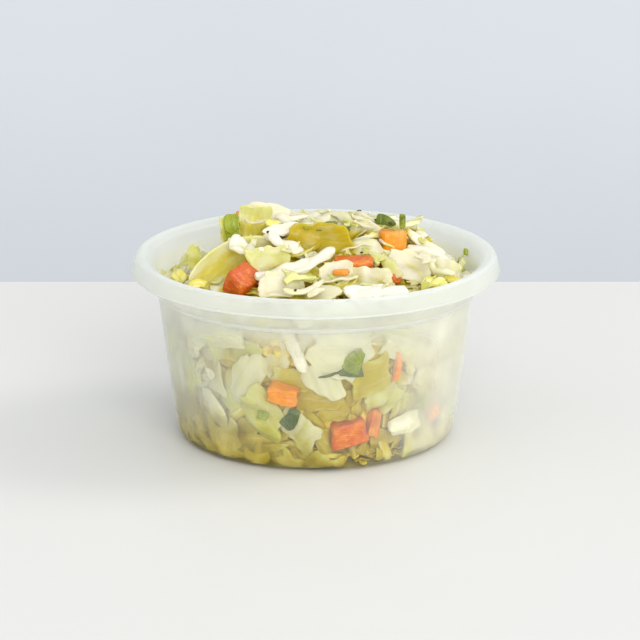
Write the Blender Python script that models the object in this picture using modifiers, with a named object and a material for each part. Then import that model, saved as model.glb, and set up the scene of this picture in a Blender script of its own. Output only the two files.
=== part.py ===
"""A portion of coleslaw in its translucent plastic cup.

Two solids: the thin moulded cup, with its stepped foot, stacking ledge and turned-down rim, and the
heap of chopped salad that fills it and mounds above the rim.
Units are metres, +Z is up, and the origin is the middle of the cup's resting face.
"""

import math
import random

import bmesh
import bpy

MM = 0.001

# Cup: radii and heights of the sheet's underside, from the middle of the base out to the edge of the rim.
SHEET = 0.6 * MM
BASE_RISE = 0.9 * MM
BASE_PANEL_RADIUS = 20.6 * MM
FOOT_INNER_RADIUS = 21.8 * MM
FOOT_OUTER_RADIUS = 28.0 * MM
FOOT_FILLET = 2.4 * MM
WALL_TOP_RADIUS = 31.7 * MM
LEDGE_HEIGHT = 29.6 * MM
LEDGE_WIDTH = 0.6 * MM
LEDGE_RISE = 0.5 * MM
MOUTH_RADIUS = 33.7 * MM
MOUTH_HEIGHT = 36.2 * MM
RIM_CREST_RADIUS = 35.7 * MM
RIM_CREST_HEIGHT = 37.05 * MM
SKIRT_RADIUS = 36.4 * MM
SKIRT_HEIGHT = 34.1 * MM
STEP_FILLET = 0.8 * MM
LEDGE_FILLET = 0.3 * MM
MOUTH_FILLET = 0.9 * MM
CREST_FILLET = 0.5 * MM
CUP_STEPS = 52

# Coleslaw: the heap's own sizes. Azimuths run anticlockwise from +X.
GAP = 0.3 * MM
EDGE_HEIGHT = 33.2 * MM
EDGE_DIP = 1.9 * MM
EDGE_DIP_AZIMUTH = math.radians(172)
EDGE_FRONT_LIFT = 1.8 * MM
MOUND_RISE = 8.8 * MM
MOUND_CENTRE = (2.0 * MM, 4.0 * MM)
MOUND_PLATEAU = 11.0 * MM
MOUND_REACH = 29.0 * MM
EDGE_RIPPLE = 0.3 * MM
SIDE_CLEARANCE = 1.55 * MM
CHIP_COUNT = 130
CHIP_REACH = 28.0 * MM
CHIP_LENGTH = (6.0 * MM, 11.0 * MM)
CHIP_WIDTH = (3.5 * MM, 6.5 * MM)
CHIP_TILT = 0.28
CHIP_LIFT = (0.2 * MM, 2.2 * MM)
CHIP_BEVEL = 1.1 * MM
HEAP_CELLS = 40
SEED = 11

CUP_COLOUR = (0.86, 0.89, 0.88, 1.0)
SLAW_COLOUR = (0.80, 0.78, 0.46, 1.0)


def clear_scene():
    """Removes whatever the file opened with."""
    for item in list(bpy.data.objects):
        bpy.data.objects.remove(item)


def make_material(name, colour, roughness, alpha=1.0):
    """Makes a plain Principled material."""
    material = bpy.data.materials.new(name)
    material.use_nodes = True
    shader = material.node_tree.nodes["Principled BSDF"]
    shader.inputs["Base Color"].default_value = colour
    shader.inputs["Roughness"].default_value = roughness
    shader.inputs["Alpha"].default_value = alpha
    return material


def fillet(before, corner, after, radius, segments):
    """Returns the points of an arc that rounds one corner of a profile of (radius, height) points."""
    to_before = ((before[0] - corner[0]), (before[1] - corner[1]))
    to_after = ((after[0] - corner[0]), (after[1] - corner[1]))
    length_before = math.hypot(*to_before)
    length_after = math.hypot(*to_after)
    unit_before = (to_before[0] / length_before, to_before[1] / length_before)
    unit_after = (to_after[0] / length_after, to_after[1] / length_after)
    cosine = unit_before[0] * unit_after[0] + unit_before[1] * unit_after[1]
    half_angle = math.acos(max(-1.0, min(1.0, cosine))) / 2
    reach = min(radius / math.tan(half_angle), 0.48 * length_before, 0.48 * length_after)
    arc_radius = reach * math.tan(half_angle)
    bisector = (unit_before[0] + unit_after[0], unit_before[1] + unit_after[1])
    bisector_length = math.hypot(*bisector)
    distance = arc_radius / math.sin(half_angle)
    centre = (
        corner[0] + bisector[0] / bisector_length * distance,
        corner[1] + bisector[1] / bisector_length * distance,
    )
    start = (corner[0] + unit_before[0] * reach, corner[1] + unit_before[1] * reach)
    end = (corner[0] + unit_after[0] * reach, corner[1] + unit_after[1] * reach)
    start_angle = math.atan2(start[1] - centre[1], start[0] - centre[0])
    end_angle = math.atan2(end[1] - centre[1], end[0] - centre[0])
    sweep = (end_angle - start_angle + math.pi) % (2 * math.pi) - math.pi
    angles = [start_angle + sweep * i / segments for i in range(segments + 1)]
    return [(centre[0] + arc_radius * math.cos(a), centre[1] + arc_radius * math.sin(a)) for a in angles]


def cup_profile():
    """Returns the (radius, height) points of the sheet's outer face, from the axis to the skirt's edge."""
    corners = [
        (BASE_PANEL_RADIUS, BASE_RISE, STEP_FILLET, 1),
        (FOOT_INNER_RADIUS, 0.0, STEP_FILLET, 1),
        (FOOT_OUTER_RADIUS, 0.0, FOOT_FILLET, 4),
        (WALL_TOP_RADIUS, LEDGE_HEIGHT, LEDGE_FILLET, 1),
        (WALL_TOP_RADIUS + LEDGE_WIDTH, LEDGE_HEIGHT + LEDGE_RISE, LEDGE_FILLET, 1),
        (MOUTH_RADIUS, MOUTH_HEIGHT, MOUTH_FILLET, 2),
        (RIM_CREST_RADIUS, RIM_CREST_HEIGHT, CREST_FILLET, 3),
    ]
    start = (0.0, BASE_RISE)
    end = (SKIRT_RADIUS, SKIRT_HEIGHT)
    bare = [start] + [(radius, height) for radius, height, _, _ in corners] + [end]
    points = [start]
    for index, (_, _, rounding, segments) in enumerate(corners, start=1):
        points += fillet(bare[index - 1], bare[index], bare[index + 1], rounding, segments)
    return points + [end]


def make_cup(collection, material):
    """Makes the cup: the profile turned about Z and thickened inwards by the sheet's thickness."""
    mesh = bpy.data.meshes.new("cup")
    points = cup_profile()
    vertices = [(radius, 0.0, height) for radius, height in points]
    mesh.from_pydata(vertices, [(i, i + 1) for i in range(len(points) - 1)], [])
    cup = bpy.data.objects.new("cup", mesh)
    collection.objects.link(cup)
    mesh.materials.append(material)

    turned = cup.modifiers.new("turned", "SCREW")
    turned.axis = "Z"
    turned.steps = CUP_STEPS
    turned.render_steps = CUP_STEPS
    turned.use_merge_vertices = True
    turned.merge_threshold = 0.00001
    turned.use_smooth_shade = True

    sheet = cup.modifiers.new("sheet", "SOLIDIFY")
    sheet.thickness = SHEET
    sheet.offset = 1.0
    sheet.use_even_offset = True
    sheet.use_quality_normals = True
    return cup


def inner_radius(height):
    """Returns the cup's inside radius at a height above the foot, on its wall or its mouth."""
    wall = [point for point in cup_profile() if point[0] > FOOT_INNER_RADIUS + MM]
    for (low_r, low_z), (high_r, high_z) in zip(wall, wall[1:]):
        if low_z <= height <= high_z and high_z > low_z:
            share = (height - low_z) / (high_z - low_z)
            return low_r + (high_r - low_r) * share - SHEET
    return FOOT_OUTER_RADIUS - SHEET


def edge_height(azimuth):
    """Returns the height at which the heap meets the wall: lowest at the left, highest at the front."""
    dip = EDGE_DIP * (0.5 + 0.5 * math.cos(azimuth - EDGE_DIP_AZIMUTH)) ** 2
    front = EDGE_FRONT_LIFT * (0.5 - 0.5 * math.sin(azimuth)) ** 2
    ripple = EDGE_RIPPLE * (math.sin(5 * azimuth + 1.0) + 0.8 * math.sin(9 * azimuth))
    return EDGE_HEIGHT - dip + front + ripple


def mound(x, y):
    """Returns the smooth rise of the heap above its edge."""
    distance = math.hypot(x - MOUND_CENTRE[0], y - MOUND_CENTRE[1])
    share = (MOUND_REACH - distance) / (MOUND_REACH - MOUND_PLATEAU)
    share = min(1.0, max(0.0, share))
    return MOUND_RISE * share * share * (3 - 2 * share)


def chip_table():
    """Returns the chopped pieces that show as relief: centre, heading, half sizes, slopes and lift."""
    dice = random.Random(SEED)
    chips = []
    for _ in range(CHIP_COUNT):
        reach = CHIP_REACH * math.sqrt(dice.random())
        azimuth = dice.uniform(0, 2 * math.pi)
        chips.append(
            (
                reach * math.cos(azimuth),
                reach * math.sin(azimuth),
                dice.uniform(0, math.pi),
                dice.uniform(*CHIP_LENGTH) / 2,
                dice.uniform(*CHIP_WIDTH) / 2,
                dice.uniform(-CHIP_TILT, CHIP_TILT),
                dice.uniform(-CHIP_TILT, CHIP_TILT),
                dice.uniform(*CHIP_LIFT),
            )
        )
    return chips


def chip_relief(x, y, chips):
    """Returns the height of the topmost chip that covers a point, above the smooth mound."""
    best = 0.0
    for chip_x, chip_y, heading, half_length, half_width, slope_u, slope_v, lift in chips:
        u = (x - chip_x) * math.cos(heading) + (y - chip_y) * math.sin(heading)
        v = -(x - chip_x) * math.sin(heading) + (y - chip_y) * math.cos(heading)
        inside = min(half_length - abs(u), half_width - abs(v)) + CHIP_BEVEL / 2
        if inside > 0:
            fade = min(1.0, inside / CHIP_BEVEL)
            best = max(best, fade * (lift + slope_u * u + slope_v * v))
    return best


def disc_point(u, v):
    """Maps a point of the square from -1 to 1 to the unit disc, keeping areas even."""
    if abs(u) < 1e-9 and abs(v) < 1e-9:
        return 0.0, 0.0
    if abs(u) > abs(v):
        return abs(u), math.pi / 4 * (v / u) + (0.0 if u > 0 else math.pi)
    return abs(v), math.pi / 2 - math.pi / 4 * (u / v) + (0.0 if v > 0 else math.pi)


def heap_top(mesh, chips):
    """Turns the flat grid in the bmesh into the heap's lumpy top."""
    for vertex in mesh.verts:
        share, azimuth = disc_point(vertex.co.x, vertex.co.y)
        rim = edge_height(azimuth)
        radius = (inner_radius(rim) - GAP) * share
        x, y = radius * math.cos(azimuth), radius * math.sin(azimuth)
        level = EDGE_HEIGHT + (rim - EDGE_HEIGHT) * share**2 * (3 - 2 * share)
        lumps = chip_relief(x, y, chips) * (1 - share**8)
        vertex.co = (x, y, level + (mound(x, y) + lumps) * (1 - share**10))


def lower_ring(mesh, edges, radius, height):
    """Extrudes the heap's open edge down to a circle about Z, and returns the new open edge."""
    made = bmesh.ops.extrude_edge_only(mesh, edges=edges)["geom"]
    for vertex in (item for item in made if isinstance(item, bmesh.types.BMVert)):
        azimuth = math.atan2(vertex.co.y, vertex.co.x)
        vertex.co = (radius * math.cos(azimuth), radius * math.sin(azimuth), height)
    return [item for item in made if isinstance(item, bmesh.types.BMEdge) and item.is_boundary]


def make_coleslaw(collection, material):
    """Makes the heap: a lumpy top, sides that follow the cup's wall, and a base that fits its foot."""
    mesh = bmesh.new()
    bmesh.ops.create_grid(mesh, x_segments=HEAP_CELLS, y_segments=HEAP_CELLS, size=1.0)
    heap_top(mesh, chip_table())

    floor = SHEET + GAP
    wall_heights = (LEDGE_HEIGHT + LEDGE_RISE + GAP, LEDGE_HEIGHT - GAP, FOOT_FILLET + floor)
    rings = [(inner_radius(height) - GAP, height) for height in wall_heights]
    rings += [
        (FOOT_OUTER_RADIUS - SIDE_CLEARANCE, floor + FOOT_FILLET / 4),
        (FOOT_OUTER_RADIUS - 2 * SIDE_CLEARANCE, floor),
        (FOOT_INNER_RADIUS + GAP, floor),
        (BASE_PANEL_RADIUS - GAP, floor + BASE_RISE),
    ]
    edges = [edge for edge in mesh.edges if edge.is_boundary]
    for radius, height in rings:
        edges = lower_ring(mesh, edges, radius, height)
    bmesh.ops.contextual_create(mesh, geom=edges)
    bmesh.ops.recalc_face_normals(mesh, faces=mesh.faces)
    data = bpy.data.meshes.new("coleslaw")
    mesh.to_mesh(data)
    mesh.free()
    data.materials.append(material)
    heap = bpy.data.objects.new("coleslaw", data)
    collection.objects.link(heap)
    return heap


def main():
    """Builds the cup and what fills it."""
    clear_scene()
    collection = bpy.data.collections.new("coleslaw_cup")
    bpy.context.scene.collection.children.link(collection)
    make_cup(collection, make_material("cup_plastic", CUP_COLOUR, 0.25, alpha=0.45))
    make_coleslaw(collection, make_material("salad", SLAW_COLOUR, 0.4))


main()
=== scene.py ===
"""Looks of a portion of coleslaw in its translucent cup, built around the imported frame.

The cup is turned again with a finer sheet, and the salad becomes what it really is: chopped leaf, ribs,
shreds, carrot, green leaf and pepper, laid one on another over a small core, in a little dressing.
Units are metres, +Z is up, the cup stands on Z = 0, the front is -Y, and azimuths run anticlockwise
from +X.
"""

import logging
import math
from dataclasses import dataclass, field, replace
from enum import Enum
from functools import lru_cache
from typing import Any, Callable, Optional, Sequence, Union

import bpy
import numpy as np
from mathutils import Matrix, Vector
from mathutils.bvhtree import BVHTree

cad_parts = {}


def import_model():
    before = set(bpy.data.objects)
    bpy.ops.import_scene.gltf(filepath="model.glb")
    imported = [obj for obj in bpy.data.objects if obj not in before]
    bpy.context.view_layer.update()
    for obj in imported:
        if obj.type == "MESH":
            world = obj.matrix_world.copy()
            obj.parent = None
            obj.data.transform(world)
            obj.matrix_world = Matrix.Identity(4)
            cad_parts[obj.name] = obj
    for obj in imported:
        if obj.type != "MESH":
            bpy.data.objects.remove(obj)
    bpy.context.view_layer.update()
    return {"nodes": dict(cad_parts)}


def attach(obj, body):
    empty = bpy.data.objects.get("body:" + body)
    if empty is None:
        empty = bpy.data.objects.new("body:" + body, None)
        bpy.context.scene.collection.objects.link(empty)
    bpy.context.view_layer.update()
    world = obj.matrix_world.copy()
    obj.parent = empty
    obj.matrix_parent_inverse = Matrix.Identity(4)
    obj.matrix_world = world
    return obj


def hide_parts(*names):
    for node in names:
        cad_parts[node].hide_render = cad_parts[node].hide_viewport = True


MM = 0.001
DEGREE = math.pi / 180
SEED = 7
LOG = logging.getLogger("coleslaw_cup")

Colour = tuple[float, float, float, float]
Span = tuple[float, float]
WHITE: Colour = (1.0, 1.0, 1.0, 1.0)


def paint(red: float, green: float, blue: float) -> Colour:
    """Turns a colour given as screen values into the linear one that a shader takes.

    Args:
        red: Red, from 0 to 255.
        green: Green, from 0 to 255.
        blue: Blue, from 0 to 255.

    Returns:
        The linear colour, with full alpha.
    """
    shares = [value / 255 for value in (red, green, blue)]
    linear = [s / 12.92 if s <= 0.04045 else ((s + 0.055) / 1.055) ** 2.4 for s in shares]
    return (linear[0], linear[1], linear[2], 1.0)


# ---- Shader expressions ----


class Signal:
    """A value that varies over a surface: one output socket, with arithmetic."""

    def __init__(self, recipe: "Recipe", socket: bpy.types.NodeSocket) -> None:
        """Wraps a socket of a recipe's node tree."""
        self.recipe = recipe
        self.socket = socket

    def __add__(self, other: "Value") -> "Signal":
        """Adds a signal or a number."""
        return self.recipe.maths("ADD", self, other)

    __radd__ = __add__

    def __sub__(self, other: "Value") -> "Signal":
        """Takes a signal or a number away."""
        return self.recipe.maths("SUBTRACT", self, other)

    def __rsub__(self, other: "Value") -> "Signal":
        """Takes this signal away from a number."""
        return self.recipe.maths("SUBTRACT", other, self)

    def __mul__(self, other: "Value") -> "Signal":
        """Multiplies by a signal or a number."""
        return self.recipe.maths("MULTIPLY", self, other)

    __rmul__ = __mul__

    def __pow__(self, other: "Value") -> "Signal":
        """Raises to a power."""
        return self.recipe.maths("POWER", self, other)

    def fade(self, low: float, high: float) -> "Signal":
        """Rises smoothly from 0 at low to 1 at high, or falls where low is the larger."""
        limits = {"Value": self, "From Min": low, "From Max": high}
        return self.recipe.node("ShaderNodeMapRange", {"interpolation_type": "SMOOTHSTEP"}, limits)


Value = Union[Signal, float, Sequence[float]]
Layer = tuple[Value, Colour]


class Recipe:
    """One material's node tree, written as expressions."""

    def __init__(self, name: str) -> None:
        """Starts an empty material.

        Args:
            name: Its name.
        """
        self.material = bpy.data.materials.new(name)
        self.material.use_nodes = True
        self.tree = self.material.node_tree
        self.tree.nodes.clear()

    def add(self, kind: str, settings: dict, inputs: dict) -> bpy.types.Node:
        """Adds one node.

        Args:
            kind: The node's type name.
            settings: The node's own settings, set before its sockets are used.
            inputs: The values or signals of its sockets, by name or number.

        Returns:
            The node.
        """
        made = self.tree.nodes.new(kind)
        for name, value in settings.items():
            setattr(made, name, value)
        for name, value in inputs.items():
            if isinstance(value, Signal):
                self.tree.links.new(value.socket, made.inputs[name])
            else:
                made.inputs[name].default_value = value
        return made

    def node(self, kind: str, settings: dict, inputs: dict, output: Union[int, str] = 0) -> Signal:
        """Adds one node and gives one of its outputs, by name or number."""
        return Signal(self, self.add(kind, settings, inputs).outputs[output])

    def maths(self, operation: str, first: Value, second: Value) -> Signal:
        """Joins two values by a Math node's operation."""
        return self.node("ShaderNodeMath", {"operation": operation}, {0: first, 1: second})

    def stretch(self, at: Signal, factors: Sequence[float]) -> Signal:
        """Scales a point by a factor along each of its axes."""
        return self.node("ShaderNodeVectorMath", {"operation": "MULTIPLY"}, {0: at, 1: factors})

    def mix(self, share: Value, first: Value, second: Value) -> Signal:
        """Mixes two colours by a share of the second."""
        settings = {"data_type": "RGBA", "clamp_factor": True}
        return self.node("ShaderNodeMix", settings, {0: share, 6: first, 7: second}, 2)

    def attribute(self, name: str, output: str = "Fac") -> Signal:
        """Reads one of the mesh's own attributes."""
        return self.node("ShaderNodeAttribute", {"attribute_name": name}, {}, output)

    def place(self) -> Signal:
        """Gives the point on the surface, in the object's own metres."""
        return self.node("ShaderNodeTexCoord", {}, {}, "Object")

    def noise(self, at: Signal, size: float, detail: float = 3.0) -> Signal:
        """Makes cloudy noise around 0.5, with features of a size in the point's unit."""
        inputs = {"Vector": at, "Scale": 1 / size, "Detail": detail, "Roughness": 0.5}
        return self.node("ShaderNodeTexNoise", {}, inputs, "Fac")

    def net(self, at: Signal, size: float) -> Signal:
        """Makes a net of lines, with cells of a size in the point's unit: 0 on the lines, rising off them."""
        inputs = {"Vector": at, "Scale": 1 / size}
        return self.node("ShaderNodeTexVoronoi", {"feature": "DISTANCE_TO_EDGE"}, inputs)

    def bump(self, height: Signal, depth: float) -> Signal:
        """Turns a height into a surface normal, where a height of 1 is really that deep."""
        return self.node("ShaderNodeBump", {}, {"Height": height, "Distance": depth})

    def blend(self, share: Value, first: Signal, second: Signal) -> Signal:
        """Mixes two shaders by a share of the second."""
        return self.node("ShaderNodeMixShader", {}, {0: share, 1: first, 2: second})

    def axis(self, at: Signal, name: str) -> Signal:
        """Gives one coordinate of a point."""
        return self.node("ShaderNodeSeparateXYZ", {}, {0: at}, name)

    def surface(self, inputs: dict) -> Signal:
        """Makes a surface that reflects."""
        return self.node("ShaderNodeBsdfPrincipled", {}, inputs)

    def through(self, inputs: dict) -> Signal:
        """Makes a surface that light comes through, scattered."""
        return self.node("ShaderNodeBsdfTranslucent", {}, inputs)

    def clear(self, tint: Colour = WHITE) -> Signal:
        """Lets what is behind show, tinted."""
        return self.node("ShaderNodeBsdfTransparent", {}, {"Color": tint})

    def layered(self, base: Colour, layers: Sequence[Layer]) -> Value:
        """Lays colours over a base.

        Args:
            base: The colour of the base.
            layers: The share and the colour of each layer.

        Returns:
            The colour that shows.
        """
        shown = base
        for share, colour in layers:
            shown = self.mix(share, shown, colour)
        return shown

    def layered_light(self, base: Colour, layers: Sequence[Layer], normal: Signal) -> Signal:
        """Lays light of several colours that comes through over one another, as layered does colours.

        Args:
            base: The colour of the base.
            layers: The share and the colour of each layer.
            normal: The surface normal.

        Returns:
            The surface that lets it through.
        """
        shown = self.through({"Color": base, "Normal": normal})
        for share, colour in layers:
            shown = self.blend(share, shown, self.through({"Color": colour, "Normal": normal}))
        return shown

    def flesh(
        self,
        base: Colour,
        layers: Sequence[Layer],
        normal: Signal,
        looks: dict,
        glow: float,
        within: Sequence[Layer] = (),
    ) -> bpy.types.Material:
        """Finishes soft wet flesh, which some light comes through.

        Args:
            base: Its base colour.
            layers: The share and the colour of each layer over the base.
            normal: Its normal.
            looks: The surface's further inputs.
            glow: The share of light that comes through.
            within: Further layers, which only that light has.

        Returns:
            The material.
        """
        body = self.surface({"Base Color": self.layered(base, layers), "Normal": normal, **looks})
        light = self.layered_light(base, [*layers, *within], normal)
        return self.done(self.blend(glow, body, light))

    def done(self, surface: Signal) -> bpy.types.Material:
        """Joins a surface to the material's output and gives the material."""
        self.add("ShaderNodeOutputMaterial", {}, {"Surface": surface})
        return self.material


# ---- Finishes ----


@dataclass(frozen=True)
class CabbageFinish:
    """Wet white cabbage: cream to yellow-green flesh, paler at its cut edges, golden with dressing,
    and golden to deep olive as painted shade where it lies deep between other pieces.
    """

    name: str
    pale: Colour = paint(246, 243, 228)
    green: Colour = paint(232, 233, 152)
    golden: Colour = paint(232, 222, 96)
    deep: Colour = paint(212, 190, 34)
    edge: Colour = paint(255, 255, 248)
    blotchy: float = 0.4
    speckled: float = 0.25
    rim_pale: float = 0.3
    fibrous: float = 0.25
    gilded: float = 0.3
    glow: float = 0.48

    def make(self) -> bpy.types.Material:
        """Builds the material.

        Returns:
            The material.
        """
        r = Recipe(self.name)
        grain = r.attribute("grain", "Vector")
        clouds = r.noise(grain, 4.0)
        fine = r.noise(grain, 0.7)
        fibres = r.noise(r.stretch(grain, (0.25, 1.6, 1.0)), 0.9, 4.0)
        rim = r.attribute("edge").fade(0.6, 1.02) * clouds.fade(0.35, 0.6)
        green = (r.attribute("tone") + (clouds - 0.5) * 1.2).fade(0.05, 0.8)
        blotches = (clouds - 0.5) * self.blotchy + (fine - 0.5) * self.speckled
        # The soak attribute holds each piece's dressing and, where it lies deep, painted shade; it turns the
        # flesh golden and then deep olive.
        wetness_and_depth_shade = r.attribute("soak") + blotches - rim * self.rim_pale
        layers = [
            (green, self.green),
            (wetness_and_depth_shade.fade(0.15, 0.75), self.golden),
            (wetness_and_depth_shade.fade(0.6, 1.3), self.deep),
            (fibres.fade(0.45, 0.8) * self.fibrous, self.edge),
        ]
        normal = r.bump(fine * 0.35 + clouds * 0.8 + fibres * (0.4 + self.fibrous), 0.2 * MM)
        looks = {"Roughness": fine * 0.3 + 0.22, "IOR": 1.4, "Coat Weight": 0.35, "Coat Roughness": 0.16}
        return r.flesh(self.pale, layers, normal, looks, self.glow, [(self.gilded, self.golden)])


@dataclass(frozen=True)
class CarrotFinish:
    """Raw carrot: orange flesh with paler streaks and fine fibres, wet."""

    name: str = "carrot_flesh"
    deep: Colour = paint(214, 92, 12)
    bright: Colour = paint(252, 160, 18)
    core: Colour = paint(254, 202, 120)
    streaked: float = 0.45
    glow: float = 0.2

    def make(self) -> bpy.types.Material:
        """Builds the material.

        Returns:
            The material.
        """
        r = Recipe(self.name)
        grain = r.attribute("grain", "Vector")
        clouds = r.noise(grain, 2.2)
        fine = r.noise(r.stretch(grain, (0.5, 1.6, 1.6)), 0.6, 4.0)
        bright = (r.attribute("tone") + (clouds - 0.5) * 1.6).fade(0.0, 1.0)
        streaks = fine.fade(0.5, 0.75) * clouds.fade(0.35, 0.65) * self.streaked
        normal = r.bump(fine * 1.2 + clouds, 0.35 * MM)
        looks = {"Roughness": fine * 0.3 + 0.2, "Coat Weight": 0.4, "Coat Roughness": 0.15}
        layers = [(bright, self.bright), (streaks, self.core)]
        return r.flesh(self.deep, layers, normal, looks, self.glow)


@dataclass(frozen=True)
class GreenFinish:
    """The dark outer leaf and herb bits: fresh green with faint veins."""

    name: str = "green_leaf_flesh"
    dark: Colour = paint(78, 102, 18)
    fresh: Colour = paint(164, 176, 40)
    vein: Colour = paint(206, 216, 130)
    veined: float = 0.08
    glow: float = 0.3

    def make(self) -> bpy.types.Material:
        """Builds the material.

        Returns:
            The material.
        """
        r = Recipe(self.name)
        grain = r.attribute("grain", "Vector")
        clouds = r.noise(grain, 2.0)
        fine = r.noise(grain, 0.5)
        veins = r.net(grain, 2.6).fade(0.1, 0.0)
        fresh = (r.attribute("tone") + (clouds - 0.5) * 1.2).fade(0.0, 1.0)
        normal = r.bump(veins * 0.6 + fine * 0.5 + clouds, 0.25 * MM)
        looks = {"Roughness": fine * 0.3 + 0.25, "Coat Weight": 0.35, "Coat Roughness": 0.18}
        layers = [(fresh, self.fresh), (veins * self.veined, self.vein)]
        return r.flesh(self.dark, layers, normal, looks, self.glow)


@dataclass(frozen=True)
class PepperFinish:
    """Ground pepper: near black with brown flecks."""

    name: str = "pepper_husk"
    dark: Colour = paint(30, 26, 20)
    brown: Colour = paint(92, 70, 44)

    def make(self) -> bpy.types.Material:
        """Builds the material.

        Returns:
            The material.
        """
        r = Recipe(self.name)
        flecks = r.noise(r.place(), 0.3 * MM)
        colour = r.mix(flecks.fade(0.4, 0.65), self.dark, self.brown)
        return r.done(r.surface({"Base Color": colour, "Roughness": 0.5, "Normal": r.bump(flecks, 0.1 * MM)}))


@dataclass(frozen=True)
class DressingFinish:
    """Thin dressing against the wall: olive where it has drained to the foot, creamy smearing above.
    Its creamy layer is partly painted light: laid thick in a band under the rim, low on the left and on
    the right side, it lightens the band in the rim's shade and the sides.

    Each pair is the places from which and to which something grows, in X or up the wall.
    """

    name: str = "dressing_film_with_painted_light"
    colour: Colour = paint(128, 114, 24)
    tint: Colour = paint(232, 220, 130)
    cream: Colour = paint(252, 250, 236)
    dense: float = 0.88
    lean: float = 0.3
    drained: Span = (8 * MM, 0.5 * MM)
    smear_and_light_share: float = 0.72
    clear_right: Span = (15 * MM, 6 * MM)
    clear_left: Span = (-22 * MM, -9 * MM)
    clear_down: Span = (27 * MM, 23 * MM)
    # Spans of painted light: the band under the rim and the two sides, where the creamy layer is laid thick
    # to lighten them.
    top_band: Span = (24 * MM, 31 * MM)
    left_side: Span = (-14 * MM, -28 * MM)
    left_up: Span = (6 * MM, 14 * MM)
    right_side: Span = (11 * MM, 26 * MM)

    def make(self) -> bpy.types.Material:
        """Builds the material.

        Returns:
            The material.
        """
        r = Recipe(self.name)
        at = r.place()
        side, height = r.axis(at, "X"), r.axis(at, "Z")
        clouds = r.noise(at, 5.0 * MM)
        patches = r.noise(at, 9 * MM, 2.0)
        level = height + side * self.lean + (clouds - 0.5) * 6 * MM
        clear_middle = side.fade(*self.clear_right) * side.fade(*self.clear_left)
        clear_middle = clear_middle * height.fade(*self.clear_down)
        smears_and_painted_light = patches.fade(0.5, 0.75) * 0.25 * (clear_middle * -0.9 + 1.0)
        # Painted light: the creamy layer laid thick under the rim, low on the left and on the right lightens
        # the rim's shade and the sides.
        smears_and_painted_light = smears_and_painted_light + height.fade(*self.top_band) * 0.7
        smears_and_painted_light = smears_and_painted_light + side.fade(*self.left_side) * height.fade(*self.left_up) * 0.3
        smears_and_painted_light = smears_and_painted_light + side.fade(*self.right_side) * (patches.fade(0.2, 0.6) * 0.45 + 0.5)
        colour = r.mix(clouds.fade(0.3, 0.7), self.colour, self.tint)
        olive = r.surface({"Base Color": colour, "Roughness": clouds * 0.2 + 0.15})
        drained = level.fade(*self.drained) ** 1.5 * self.dense
        foot = r.blend(drained, r.clear(), r.blend(0.42, r.clear(self.tint), olive))
        cream = r.surface({"Base Color": self.cream, "Roughness": 0.3})
        smear_and_light_layer = r.blend(0.5, cream, r.through({"Color": self.cream}))
        return r.done(r.blend(smears_and_painted_light * self.smear_and_light_share, foot, smear_and_light_layer))


@dataclass(frozen=True)
class CoreFinish:
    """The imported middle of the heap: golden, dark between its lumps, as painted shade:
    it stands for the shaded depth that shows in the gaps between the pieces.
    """

    name: str = "salad_core"
    light: Colour = paint(232, 212, 80)
    dark: Colour = paint(206, 172, 30)

    def make(self) -> bpy.types.Material:
        """Builds the material.

        Returns:
            The material.
        """
        r = Recipe(self.name)
        at = r.place()
        lumps = r.noise(at, 3.0 * MM, 4.0)
        # Painted shade: the lumps are darker in the cracks between them.
        cracks_and_shade = r.net(at, 4.0 * MM).fade(0.0, 0.2)
        colour = r.mix(cracks_and_shade * (lumps + 0.3), self.dark, self.light)
        normal = r.bump(cracks_and_shade + lumps, 0.6 * MM)
        return r.done(r.surface({"Base Color": colour, "Roughness": lumps * 0.3 + 0.25, "Normal": normal}))


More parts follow.
